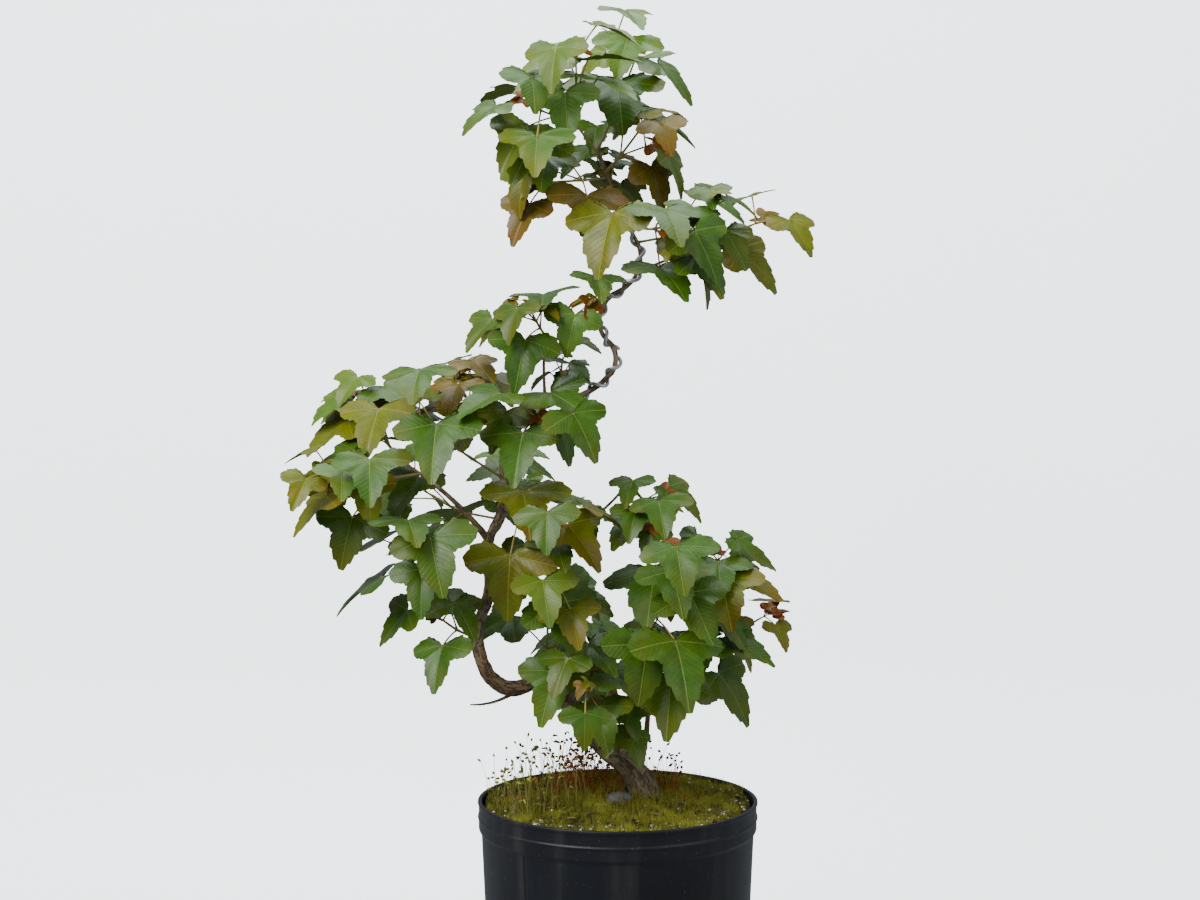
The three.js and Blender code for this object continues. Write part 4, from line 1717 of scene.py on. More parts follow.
def spun(profile: Sequence[tuple[float, float]], steps: int) -> bmesh.types.BMesh:
    """Spins a profile about the upright axis.

    Args:
        profile: Radius and height, from the axis round to the axis, or closed on itself.
        steps: How many steps a turn has.

    Returns:
        The bmesh.
    """
    bm = bmesh.new()
    verts = [bm.verts.new((x * MM, 0, z * MM)) for x, z in profile]
    for one, two in zip(verts, verts[1:]):
        bm.edges.new((one, two))
    geometry = list(bm.verts) + list(bm.edges)
    turn = {"cent": (0, 0, 0), "axis": (0, 0, 1), "angle": TAU, "steps": steps, "use_merge": True}
    bmesh.ops.spin(bm, geom=geometry, **turn)
    bmesh.ops.remove_doubles(bm, verts=bm.verts, dist=1e-6)
    bmesh.ops.recalc_face_normals(bm, faces=bm.faces)
    return bm


def rounded(profile: Sequence[tuple[float, float, float]], steps: int = 4) -> list[tuple[float, float]]:
    """Rounds the corners of a profile.

    Args:
        profile: Radius, height and corner radius of each point.
        steps: How many steps each corner has.

    Returns:
        The rounded profile.
    """
    points = [np.array(point[:2]) for point in profile]
    result = []
    for i, (x, z, radius) in enumerate(profile):
        if not radius or i in (0, len(profile) - 1):
            result.append((x, z))
            continue
        before, after = unit(points[i - 1] - points[i]), unit(points[i + 1] - points[i])
        for k in range(steps + 1):
            t = k / steps
            spot = points[i] + before * radius * (1 - t) ** 2 + after * radius * t**2
            result.append(tuple(spot))
    return result


def as_mesh(name: str, bm: bmesh.types.BMesh) -> bpy.types.Mesh:
    """Turns a bmesh into a smooth mesh, and uses it up.

    Args:
        name: The mesh's name.
        bm: The bmesh.

    Returns:
        The mesh.
    """
    mesh = bpy.data.meshes.new(name)
    for face in bm.faces:
        face.smooth = True
    bm.to_mesh(mesh)
    bm.free()
    return mesh


def linked(name: str, data: bpy.types.ID) -> bpy.types.Object:
    """Makes an object and puts it in the scene.

    Args:
        name: Its name.
        data: Its mesh, lens or lamp.

    Returns:
        The object.
    """
    made = bpy.data.objects.new(name, data)
    bpy.context.scene.collection.objects.link(made)
    return made


def show(
    name: str,
    source: Union[bmesh.types.BMesh, bpy.types.Mesh],
    finish: Finish,
    replaced: Sequence[str] = (),
) -> None:
    """Makes a piece of the object.

    Args:
        name: Its name.
        source: Its mesh, or a bmesh that is used up.
        finish: Its finish.
        replaced: The part's nodes that it stands for.
    """
    mesh = as_mesh(name, source) if isinstance(source, bmesh.types.BMesh) else source
    piece = linked(name, mesh)
    mesh.materials.append(finish.material())
    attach(piece, "root")
    if replaced:
        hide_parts(*replaced)
    triangles = sum(len(face.vertices) - 2 for face in mesh.polygons)
    LOG.info("%s: %d triangles, %s", name, triangles, finish.name)


# The pieces


@dataclass
class Assembly(ABC):
    """Pieces that are made together, with their own run of draws."""

    draw: Draw = field(default_factory=lambda: seeded_draws(17))

    @abstractmethod
    def build(self) -> None:
        """Makes its pieces."""

    def between(self, low: float, high: float) -> float:
        """Draws a number.

        Args:
            low: The least.
            high: The most.

        Returns:
            The number.
        """
        return lerp(low, high, self.draw())


@dataclass
class Pot(Assembly):
    """The black nursery pot and the potting mix in it."""

    plastic: PlasticFinish = PlasticFinish(
        "black_plastic", (0.006, 0.006, 0.009), (0.01, 0.011, 0.016), (0.12, 0.115, 0.1), POT.height * MM
    )
    mix: EarthFinish = EarthFinish("potting_mix", (0.03, 0.018, 0.011), (0.085, 0.055, 0.035))
    mould_lines: tuple[float, ...] = (-64, 49, 131, 229)
    line_wide: float = 0.7
    line_proud: float = 0.16
    line_sunk: float = 0.4
    line_round: float = 0.15

    def build(self) -> None:
        """Makes the pot and the mix."""
        show("pot_shell", self.shell(), self.plastic, ["pot"])
        show("pot_mould_lines", self.lines(), self.plastic)
        show("potting_mix", self.body(), self.mix, ["soil"])

    def shell(self) -> bmesh.types.BMesh:
        """Spins the pot's wall, with its band, bead and lip.

        Returns:
            The bmesh.
        """
        shoulder = POT.height - POT.band
        bead = POT.height - POT.ridge
        outer = POT.rim_radius - 0.6
        profile = (
            (0, 0, 0),
            (POT.foot_radius - POT.corner, 0, 0),
            (POT.foot_radius, 0, POT.corner),
            (POT.wall_radius(shoulder * 0.35), shoulder * 0.35, 0),
            (POT.wall_radius(shoulder * 0.7), shoulder * 0.7, 0),
            (POT.wall_radius(shoulder) - 0.05, shoulder - 0.4, 0.6),
            (outer, shoulder + POT.step, 0.8),
            (outer, bead - 1.1, 0.5),
            (outer + 0.75, bead, 0.6),
            (outer, bead + 1.1, 0.5),
            (outer, POT.height - 2.4, 0.4),
            (POT.rim_radius, POT.height - 1.7, 0.5),
            (POT.rim_radius, POT.height, 0.7),
            (POT.rim_radius - POT.lip, POT.height, 0.7),
            (POT.wall_radius(shoulder) - POT.wall, shoulder, 1),
            (POT.foot_radius - POT.wall, POT.floor, 1.5),
            (0, POT.floor, 0),
        )
        return spun(rounded(profile), 144)

    def lines(self) -> bmesh.types.BMesh:
        """Makes the fine raised lines that the mould leaves down the wall.

        Returns:
            The bmesh.
        """
        bm = bmesh.new()
        low, high = POT.corner + 2, POT.height - POT.band - 1
        for azimuth in self.mould_lines:
            made = bmesh.ops.create_cube(bm, size=1)["verts"]
            turn = Matrix.Rotation(math.radians(azimuth), 4, "Z")
            for vert in made:
                z = low if vert.co.z < 0 else high
                thick = -self.line_sunk if vert.co.x < 0 else self.line_proud
                spot = Vector((POT.wall_radius(z) + thick, vert.co.y * self.line_wide, z)) * MM
                vert.co = turn @ spot
        rounding = {"offset": self.line_round * MM, "segments": 2, "profile": 0.5}
        bmesh.ops.bevel(bm, geom=bm.edges, affect="EDGES", material=-1, **rounding)
        return bm

    @staticmethod
    def body() -> bmesh.types.BMesh:
        """Spins the potting mix.

        Returns:
            The bmesh.
        """
        shoulder = POT.height - POT.band
        inset = POT.wall + GAP
        low = POT.floor + GAP
        profile = (
            (0, low, 0),
            (POT.wall_radius(POT.floor) - inset - 0.3, low, 2),
            (POT.wall_radius(shoulder) - inset, shoulder, 0.5),
            (POT.wall_radius(shoulder) - inset, SOIL_TOP, 1),
            (0, SOIL_TOP, 0),
        )
        return spun(rounded(profile), 96)


def from_foot(x: float, y: float) -> float:
    """How far a place is from the trunk's foot."""
    return math.hypot(x - FOOT["x"], y - FOOT["y"])


def moss_height(x: float, y: float) -> float:
    """The height of the moss, which mounds up round the trunk's foot in low cushions.

    Args:
        x: Where it is asked for.
        y: The same, to the back.

    Returns:
        The height.
    """
    away = math.hypot(x - MOSS["x"], y - MOSS["y"]) / MOSS["spread"]
    cushions = math.sin(x / MOSS["cushion"] + 1) * math.cos(y / MOSS["cushion"] - x / 30)
    return lerp(MOSS["edge"], MOSS["crown"], math.exp(-away * away)) + MOSS["lump"] * cushions


@dataclass(frozen=True)
class Patch:
    """A round patch on the moss: its middle, its radius, how many stand in it and how tall they get."""

    x: float
    y: float
    wide: float
    count: int
    high: float


@dataclass
class Ground(Assembly):
    """The moss mat with its tufts, seed stalks, grit and litter, and the stone."""

    tufts: int = 5600
    blades: int = 7
    pale_grit: int = 260
    dark_crumbs: int = 520
    litter: int = 170
    seed_stalks: int = 210
    long_strands: int = 9000
    tuft_height: tuple[float, float] = (1.8, 5)
    strand_height: tuple[float, float] = (5, 12)
    stalk_height: tuple[float, float] = (10, 30)
    capsule: tuple[float, ...] = (0.16, 0.6, 0.8, 0.7, 0.42, 0.06)
    outermost: float = 0.985
    trunk_clear: float = 13
    stalk_clear: float = 12
    clumps: tuple[Patch, ...] = (
        Patch(-8, 6, 17, 130, 17),
        Patch(-26, 16, 15, 80, 12),
        Patch(30, 6, 9, 70, 15),
        Patch(4, 32, 20, 90, 11),
        Patch(44, -8, 9, 40, 7),
        Patch(-42, 4, 10, 40, 7),
        Patch(10, -16, 9, 40, 5),
    )
    red_patches: tuple[Patch, ...] = (
        Patch(-24, 14, 17, 80, 27),
        Patch(28, 10, 10, 32, 27),
        Patch(4, 34, 16, 34, 27),
    )
    # The mat's colours are its own dark earth, darkened further as painted shade in the gaps between the
    # tufts.
    mat: EarthFinish = EarthFinish("moss_mat", (0.01, 0.008, 0.002), (0.045, 0.04, 0.005), 120)
    moss: GrainFinish = GrainFinish("moss_tufts", (0.022, 0.026, 0.003), (0.36, 0.36, 0.04))
    strands: GrainFinish = GrainFinish("moss_strands", (0.04, 0.04, 0.004), (0.4, 0.38, 0.04))
    rusty: GrainFinish = GrainFinish("rusty_moss", (0.08, 0.025, 0.006), (0.4, 0.12, 0.02))
    grit: GrainFinish = GrainFinish("pale_grit", (0.42, 0.38, 0.3), (0.8, 0.78, 0.7), 0.7)
    crumb: GrainFinish = GrainFinish("dark_crumbs", (0.018, 0.011, 0.009), (0.12, 0.065, 0.05), 0.9)
    straw: GrainFinish = GrainFinish("litter", (0.1, 0.06, 0.03), (0.42, 0.3, 0.16), 0.75)
    red_stalk: StemFinish = StemFinish("red_stalks", (0.3, 0.07, 0.02), (0.5, 0.2, 0.06))
    seta: StemFinish = StemFinish("seed_stalks", (0.2, 0.15, 0.035), (0.38, 0.36, 0.1))
    green_capsule: GrainFinish = GrainFinish("green_capsules", (0.13, 0.16, 0.02), (0.38, 0.45, 0.07), 0.4)
    red_capsule: GrainFinish = GrainFinish("red_capsules", (0.13, 0.035, 0.012), (0.38, 0.12, 0.03), 0.4)
    grey: StoneFinish = StoneFinish("grey_stone", (0.055, 0.057, 0.06), (0.15, 0.155, 0.16))

    @property
    def reach(self) -> float:
        """The radius of the mossy top."""
        return POT.wall_radius(POT.height - POT.band) - POT.wall - GAP

    def build(self) -> None:
        """Makes the mat and what stands and lies on it."""
        show("moss_mat", self.mat_body(), self.mat, ["moss_bed"])
        show("moss_tufts", self.tuft_mesh(), self.moss)
        show("moss_strands", self.strand_mesh(), self.strands)
        show("rusty_clumps", self.clump_mesh(), self.rusty)
        for name, finish, count, size in (
            ("pale_grit", self.grit, self.pale_grit, (0.5, 1.4)),
            ("dark_crumbs", self.crumb, self.dark_crumbs, (0.5, 1.7)),
        ):
            show(name, self.grain_mesh(name, count, size, name == "pale_grit"), finish)
        show("litter", self.litter_mesh(), self.straw)
        for name, finish, mesh in zip(
            ("seed_stalks", "red_stalks", "green_capsules", "red_capsules"),
            (self.seta, self.red_stalk, self.green_capsule, self.red_capsule),
            self.seed_meshes(),
        ):
            show(name, mesh, finish)
        show("grey_stone", self.stone(), self.grey, ["stone"])

    def mat_body(self) -> bmesh.types.BMesh:
        """Makes the mat's own surface.

        Returns:
            The bmesh.
        """
        bottom = SOIL_TOP + GAP
        rings = 40
        profile = [(0, bottom), (self.reach, bottom)]
        profile += [(self.reach * k / rings, MOSS["edge"]) for k in range(rings, -1, -1)]
        bm = spun(profile, 110)
        for vert in bm.verts:
            x, y, z = vert.co / MM
            if z > bottom + 1:
                rough = noise.noise(Vector((x, y, 0)) * 0.35) * 0.7 + noise.noise(Vector((x, y, 5)) * 0.11)
                vert.co.z = (moss_height(x, y) - 0.9 + rough) * MM
        return bm

    def spots(self, count: int, spread: float = 1.0) -> Iterator[tuple[float, float, float]]:
        """Scatters places evenly over the top, off the trunk and the stone.

        Args:
            count: How many.
            spread: How far out, as a share of the top's radius.

        Yields:
            Each place on the moss.
        """
        (stone_x, stone_y, _), (long, wide, _) = STONE["place"], STONE["size"]
        for k in range(count):
            radius = self.reach * spread * math.sqrt((k + 0.5) / count) * self.outermost
            angle = k * GOLDEN_ANGLE + self.between(-0.05, 0.05)
            x, y = radius * math.cos(angle), radius * math.sin(angle)
            on_stone = ((x - stone_x) / (long / 2)) ** 2 + ((y - stone_y) / (wide / 2)) ** 2 < 1
            if from_foot(x, y) > self.trunk_clear and not on_stone:
                yield x, y, moss_height(x, y)

    def spike(self, spot: Numbers, lean: Numbers, wide: float) -> tuple[Numbers, Numbers]:
        """One pointed three-sided blade.

        Args:
            spot: Its foot.
            lean: From its foot to its tip.
            wide: Its width.

        Returns:
            Its points and triangles.
        """
        turn = self.between(0, TAU)
        foot = [spot + wide * np.array((math.cos(turn + a), math.sin(turn + a), 0)) for a in (0, 2.1, 4.2)]
        return np.array((*foot, spot + lean)), np.array(((0, 1, 3), (1, 2, 3), (2, 0, 3)))

    def leaning(self, tall: float) -> Numbers:
        """A rise from the ground that leans a little to any side."""
        return np.array((self.between(-0.3, 0.3) * tall, self.between(-0.3, 0.3) * tall, tall))

    def tuft_mesh(self) -> bpy.types.Mesh:
        """Covers the mat with tufts of moss.

        Returns:
            The mesh.
        """
        batch = Batch()
        for x, y, z in self.spots(self.tufts):
            patch = 0.5 + 0.5 * noise.noise(Vector((x, y, 3)) * 0.06)
            tall = self.between(*self.tuft_height) * (0.5 + patch)
            mound = 1.6 * noise.noise(Vector((x, y, 9)) * 0.13)
            # A tuft's shade is its patch's tone plus painted shade: tufts set lower in the mounds are
            # darker.
            shade = min(1.0, max(0.0, 2 * patch - 0.6 + 0.35 * mound + self.between(-0.4, 0.4)))
            if self.draw() > 2.2 * patch + 0.15:
                continue
            for k in range(self.blades):
                angle = TAU * k / self.blades + self.between(-0.4, 0.4)
                out = np.array((math.cos(angle), math.sin(angle), 0))
                foot = np.array((x, y, z - 1.4 + mound)) + out * self.between(0.1, 0.7)
                lean = out * self.between(0.4, 1.5) + UP * tall * self.between(0.7, 1.15)
                spike = self.spike(foot, lean, self.between(0.2, 0.38))
                # Each blade is painted at a fifth of its shade at the foot, rising to its full shade at the
                # tip: painted shade down in the moss.
                batch.add(*spike, shade=np.array((0.2, 0.2, 0.2, 1.0)) * shade)
        return batch.mesh("moss_tufts")

    def strand_mesh(self) -> bpy.types.Mesh:
        """Stands long thin strands among the tufts, in patches and round the trunk.

        Returns:
            The mesh.
        """
        batch = Batch()
        for x, y, z in self.spots(self.long_strands):
            near = math.exp(-(math.hypot(x - FOOT["x"] + 12, y - 6) / 42) ** 2)
            patch = noise.noise(Vector((x, y, 21)) * 0.09)
            if self.draw() > near + patch:
                continue
            tall = self.between(*self.strand_height)
            foot = np.array((x + self.between(-1, 1), y + self.between(-1, 1), z - 1))
            spike = self.spike(foot, self.leaning(tall), self.between(0.14, 0.24))
            # Each strand is painted darker at its foot than at its tip: painted shade down in the moss.
            batch.add(*spike, shade=np.array((0.2, 0.2, 0.2, 0.9)) * self.draw())
        return batch.mesh("moss_strands")

    def places(self, patch: Patch) -> Iterator[tuple[float, float]]:
        """Scatters places in a patch.

        Args:
            patch: The patch.

        Yields:
            Each place's X and Y.
        """
        for _ in range(patch.count):
            angle, away = self.between(0, TAU), patch.wide * math.sqrt(self.draw())
            yield patch.x + away * math.cos(angle), patch.y + away * math.sin(angle)

    def clump_mesh(self) -> bpy.types.Mesh:
        """Makes the clumps of red-brown stems round the trunk's foot.

        Returns:
            The mesh.
        """
        batch = Batch()
        for patch in self.clumps:
            for x, y in self.places(patch):
                foot = np.array((x, y, moss_height(x, y) - 1))
                tall = patch.high * self.between(0.35, 1.1)
                lean = self.leaning(tall)
                # Each stem is painted at a quarter of its shade at the foot and its full shade at the tip:
                # painted shade down in the moss.
                shade = np.array((0.25, 0.25, 0.25, 1)) * self.draw()
                batch.add(*self.spike(foot, lean, self.between(0.2, 0.36)), shade=shade)
        return batch.mesh("rusty_clumps")

    def pebble(self, spot: Numbers, size: float, flat: float) -> tuple[Numbers, Numbers]:
        """One angular grain.

        Args:
            spot: Its middle.
            size: Its radius.
            flat: Its height as a share of its width.

        Returns:
            Its points and triangles.
        """
        points = np.array([[self.between(0.7, 1.15) * part for part in point] for point in ICOSAHEDRON])
        turn = self.between(0, TAU)
        cosine, sine = math.cos(turn), math.sin(turn)
        spin = np.array(((cosine, sine, 0), (-sine, cosine, 0), (0, 0, flat)))
        return spot + size * points @ spin, ICOSAHEDRON_FACES

    def grain_mesh(self, name: str, count: int, size: tuple[float, float], front: bool) -> bpy.types.Mesh:
        """Scatters grains.

        Args:
            name: The mesh's name.
            count: How many.
            size: The least and the greatest radius.
            front: Whether they gather at the front edge and to the right.

        Returns:
            The mesh.
        """
        batch = Batch()
        for x, y, z in self.spots(count * (3 if front else 1)):
            edge = math.hypot(x, y) / self.reach
            gathered = edge > 0.8 and (y < -20 or x > 40)
            if front and not gathered and self.draw() > 0.12:
                continue
            radius = lerp(*size, self.draw() ** 2)
            spot = np.array((x + self.between(-2, 2), y + self.between(-2, 2), z + self.between(-0.2, 1.3)))
            batch.add(*self.pebble(spot, radius, self.between(0.5, 0.9)), shade=self.draw())
        return batch.mesh(name)

    def litter_mesh(self) -> bpy.types.Mesh:
        """Scatters bits of straw and leaf stalk.

        Returns:
            The mesh.
        """
        batch = Batch()
        for x, y, z in self.spots(self.litter, 0.95):
            angle, length = self.between(0, TAU), self.between(2, 7)
            lie = np.array((math.cos(angle), math.sin(angle), self.between(-0.1, 0.25))) * length / 2
            middle = np.array((x, y, z + 1.2))
            run = np.array((middle - lie, middle + UP * self.between(0, 0.5), middle + lie))
            batch.add(*tube_parts(run, np.array((0.25, 0.35, 0.2)), 4), shade=self.draw())
        return batch.mesh("litter")

    def seed_spots(self) -> Iterator[tuple[float, float, float, bool]]:
        """Places the seed stalks: most at the back left, and red ones close together round the foot.

        Yields:
            Each stalk's place, its height, and whether it is red.
        """
        for _ in range(self.seed_stalks):
            angle, away = self.between(1.2, 4.0), self.reach * math.sqrt(self.between(0.05, 0.93))
            x, y = away * math.cos(angle) - 4, away * math.sin(angle)
            yield x, y, self.between(*self.stalk_height), False
        for patch in self.red_patches:
            for x, y in self.places(patch):
                yield x, y, self.between(patch.high / 3, patch.high), True

    def seed_meshes(self) -> tuple[bpy.types.Mesh, ...]:
        """Makes the moss's thin seed stalks and their nodding capsules.

        Returns:
            The pale stalks, the red ones, the green capsules and the red-brown ones.
        """
        pale, ruddy, green, red = Batch(), Batch(), Batch(), Batch()
        for x, y, tall, is_red in self.seed_spots():
            if math.hypot(x, y) > self.reach - 1 or from_foot(x, y) < self.stalk_clear:
                continue
            stalks = ruddy if is_red else pale
            sway = np.array((self.between(-0.25, 0.25), self.between(-0.25, 0.25), 0))
            shares = np.linspace(0, 1, 7)
            foot = np.array((x, y, moss_height(x, y) - 1))
            run = foot + shares[:, None] * tall * UP + (shares**2)[:, None] * tall * sway
            stalks.add(*tube_parts(run, np.linspace(0.16, 0.12, len(run)), 3), shade=self.draw())
            nod = unit(np.array((sway[0] * 3, sway[1] * 3, self.between(-0.2, 0.7))) + 1e-3)
            long = self.between(2.2, 3.8)
            run = run[-1] + nod * np.linspace(0, long, len(self.capsule))[:, None]
            radii = np.array(self.capsule) * self.between(0.8, 1.25)
            batch = red if is_red or self.draw() > (0.85 if x < -35 else 0.4) else green
            batch.add(*tube_parts(run, radii, 6), shade=self.draw())
        named = {"seed_stalks": pale, "red_stalks": ruddy, "green_capsules": green, "red_capsules": red}
        return tuple(batch.mesh(name) for name, batch in named.items())

    @staticmethod
    def stone() -> bmesh.types.BMesh:
        """Makes the worn flat stone.

        Returns:
            The bmesh.
        """
        bm = bmesh.new()
        bmesh.ops.create_icosphere(bm, subdivisions=5, radius=1)
        turn = Matrix.Rotation(math.radians(STONE["turn"]), 3, "Z")
        for vert in bm.verts:
            ball = vert.co.copy()
            blocky = Vector([math.copysign(abs(part) ** 0.8, part) for part in ball])
            rough = 1 + 0.05 * noise.noise(ball * 2.2) + 0.02 * noise.noise(ball * 7)
            spot = Vector([part * size / 2 for part, size in zip(blocky * rough * 0.97, STONE["size"])])
            vert.co = (turn @ spot + Vector(STONE["place"])) * MM
        return bm


GOLDEN = (1 + math.sqrt(5)) / 2
ICOSAHEDRON = [
    tuple(part / math.hypot(1, GOLDEN) for part in point)
    for a in (-1, 1)
    for b in (-GOLDEN, GOLDEN)
    for point in ((0, a, b), (a, b, 0), (b, 0, a))
]


def hull_faces(points: Sequence[tuple[float, ...]]) -> Numbers:
    """Finds the triangles of a round solid from its corners.

    Args:
        points: The corners.

    Returns:
        The triangles, facing out.
    """
    bm = bmesh.new()
    for point in points:
        bm.verts.new(point)
    bm.verts.ensure_lookup_table()
    bmesh.ops.convex_hull(bm, input=bm.verts)
    bmesh.ops.recalc_face_normals(bm, faces=bm.faces)
    bm.verts.index_update()
    faces = np.array([[vert.index for vert in face.verts] for face in bm.faces])
    bm.free()
    return faces


ICOSAHEDRON_FACES = hull_faces(ICOSAHEDRON)


@dataclass
class Wood(Assembly):
    """The trunk and the boughs, with their bark."""

    limbs: dict[str, Limb] = field(default_factory=dict)
    bark: BarkFinish = BarkFinish(
        "furrowed_bark",
        light=(0.6, 0.47, 0.3),
        dark=(0.27, 0.195, 0.12),
        warm=(0.36, 0.17, 0.06),
        grain=1.0,
        depth=0.003,
        warm_from=95,
        warm_to=178,
        mossy_to=75,
    )
    young: BarkFinish = BarkFinish(
        "thin_bark", (0.46, 0.34, 0.18), (0.22, 0.155, 0.08), (0.28, 0.15, 0.06), 2.2, 0.0006
    )

    def build(self) -> None:
        """Makes the trunk, then each bough."""
        trunk = self.limbs["trunk"]
        show("trunk_bark", self.trunk(trunk), self.bark, TRUNK_NODES)
        for bough in BOUGHS:
            limb = self.limbs[bough.name]
            bm = bark_tube(limb.path, self.young_radius(limb), 0, limb.path.length, 1.5, 14)
            show(bough.name + "_bark", bm, self.young, [bough.name])

    @staticmethod
    def trunk(trunk: Limb) -> bmesh.types.BMesh:
        """Makes the trunk with its fissured bark and its flare at the ground.

        Args:
            trunk: The trunk.

        Returns:
            The bmesh.
        """

        def radius_at(at: float, angle: float) -> float:
            """The trunk's radius with its ridges, lumps and flare."""
            plain = trunk.radius(max(at, 0))
            here = Vector((math.cos(angle) * plain, math.sin(angle) * plain, at * 0.25))
            ridge = 1 - abs(noise.noise(here * 0.42)) * 2.4
            lumps = noise.noise(Vector((here.x, here.y, at)) * 0.12)
            flare = 0.1 * math.cos(4 * angle + 0.6) * math.exp(-max(at, 0) / 9)
            old = min(1, plain / 4)
            return plain * (1 + 0.07 * lumps + flare) + old * (0.95 * ridge - 0.8)

        return bark_tube(trunk.path, radius_at, -4, trunk.path.length, 1.2, 36)

    @staticmethod
    def young_radius(limb: Limb) -> Callable[[float, float], float]:
        """A bough's radius, with a collar at its foot and a swelling every so often.

        Args:
            limb: The bough.

        Returns:
            The radius at a length along it and an angle.
        """

        def radius_at(at: float, angle: float) -> float:
            """The bough's radius with its collar, swellings and roughness."""
            plain = limb.radius(at)
            collar = 0.35 * math.exp(-at / (2.5 * plain))
            node = 0.14 * math.exp(-(((at % 17) - 8) ** 2) / 3)
            rough = 0.06 * noise.noise(Vector((math.cos(angle), math.sin(angle), at * 0.5)))
            return plain * (1 + collar + node + rough)

        return radius_at


@dataclass
class TrainingWire(Assembly):
    """The two wires wound round the upper trunk."""

    trunk: Optional[Limb] = None
    metal: WireFinish = WireFinish("dull_wire", (0.8, 0.8, 0.81), (0.4, 0.4, 0.42))
    steps_a_turn: int = 26
    bed: float = 0.05

    def build(self) -> None:
        """Winds each wire."""
        for wire in WIRES:
            path = wire_path(wire, self.trunk, self.steps_a_turn, self.bed)
            stride = path.length / (len(path.points) - 1)
            half = WIRE_THICK / 2

            def radius_at(at: float, angle: float) -> float:
                """The wire's radius, a little less at its cut ends."""
                near_end = min(at, path.length - at)
                return half * (1 - 0.25 * math.exp(-near_end / 0.25))

            bm = bark_tube(path, radius_at, 0, path.length, stride, 14)
            show(wire.name.replace("_wire", "_training_wire"), bm, self.metal, [wire.name])


def blade_margin(steps: int, tooth: float) -> Numbers:
    """Draws half of the blade's real outline, with low teeth that point to the tips.

    Args:
        steps: How many steps each stretch has.
        tooth: How far the teeth stand out.

    Returns:
        The outline from the stalk to the tip of the middle lobe, out and along, in midrib lengths.
    """
    side = np.array(((0, 0), (0.1, -0.1), (0.26, -0.18), (0.46, -0.17), (0.63, -0.06), (0.72, 0.12)))
    notch = np.array(((0.72, 0.12), (0.65, 0.24), (0.52, 0.3), (0.39, 0.325), (0.3, 0.38)))
    middle = np.array(((0.3, 0.38), (0.3, 0.5), (0.23, 0.69), (0.12, 0.88), (0, 1.02)))
    runs = []
    for corners, teeth in ((side, 1.0), (notch, 0.6), (middle, 1.0)):
        run = smooth_run(corners, steps)
        saw = (np.arange(len(run)) % steps) / steps
        saw[: steps + 1] *= 0.4
        course = np.gradient(run, axis=0)
        outward = np.stack((-course[:, 1], course[:, 0]), -1)
        outward /= np.linalg.norm(outward, axis=1, keepdims=True)
        run = run + outward * (saw * tooth * teeth)[:, None] * np.sign(outward[:, :1] + 1e-9)
        runs.append(run[:-1])
    return np.concatenate((*runs, middle[-1:]))


@dataclass(frozen=True)
class BladeMesh:
    """A blade's flat grid: rings of points out from the stalk's end."""

    out: Numbers
    on: Numbers
    rim: Numbers
    triangles: Numbers

    @classmethod
    def make(cls, steps: int, tooth: float, rings: Sequence[float]) -> "BladeMesh":
        """Makes the grid.

        Args:
            steps: How many steps each stretch of the outline has.
            tooth: How far the teeth stand out.
            rings: How far out each ring is, up to 1.

        Returns:
            The grid.
        """
        half = blade_margin(steps, tooth)
        outline = np.concatenate((half * (1, 1), half[-2:0:-1] * (-1, 1)))
        count = len(outline)
        grid = np.concatenate([outline * ring for ring in rings])
        grid = np.concatenate((np.zeros((1, 2)), grid))
        rim = np.concatenate(([0.0], np.repeat(rings, count)))
        j = np.arange(count)
        following = (j + 1) % count
        triangles = [np.stack((np.zeros(count, int), 1 + following, 1 + j), -1)]
        for k in range(len(rings) - 1):
            inner, outer = 1 + k * count, 1 + (k + 1) * count
            triangles.append(np.stack((inner + j, inner + following, outer + following), -1))
            triangles.append(np.stack((inner + j, outer + following, outer + j), -1))
        return cls(grid[:, 0], grid[:, 1], rim, np.concatenate(triangles))


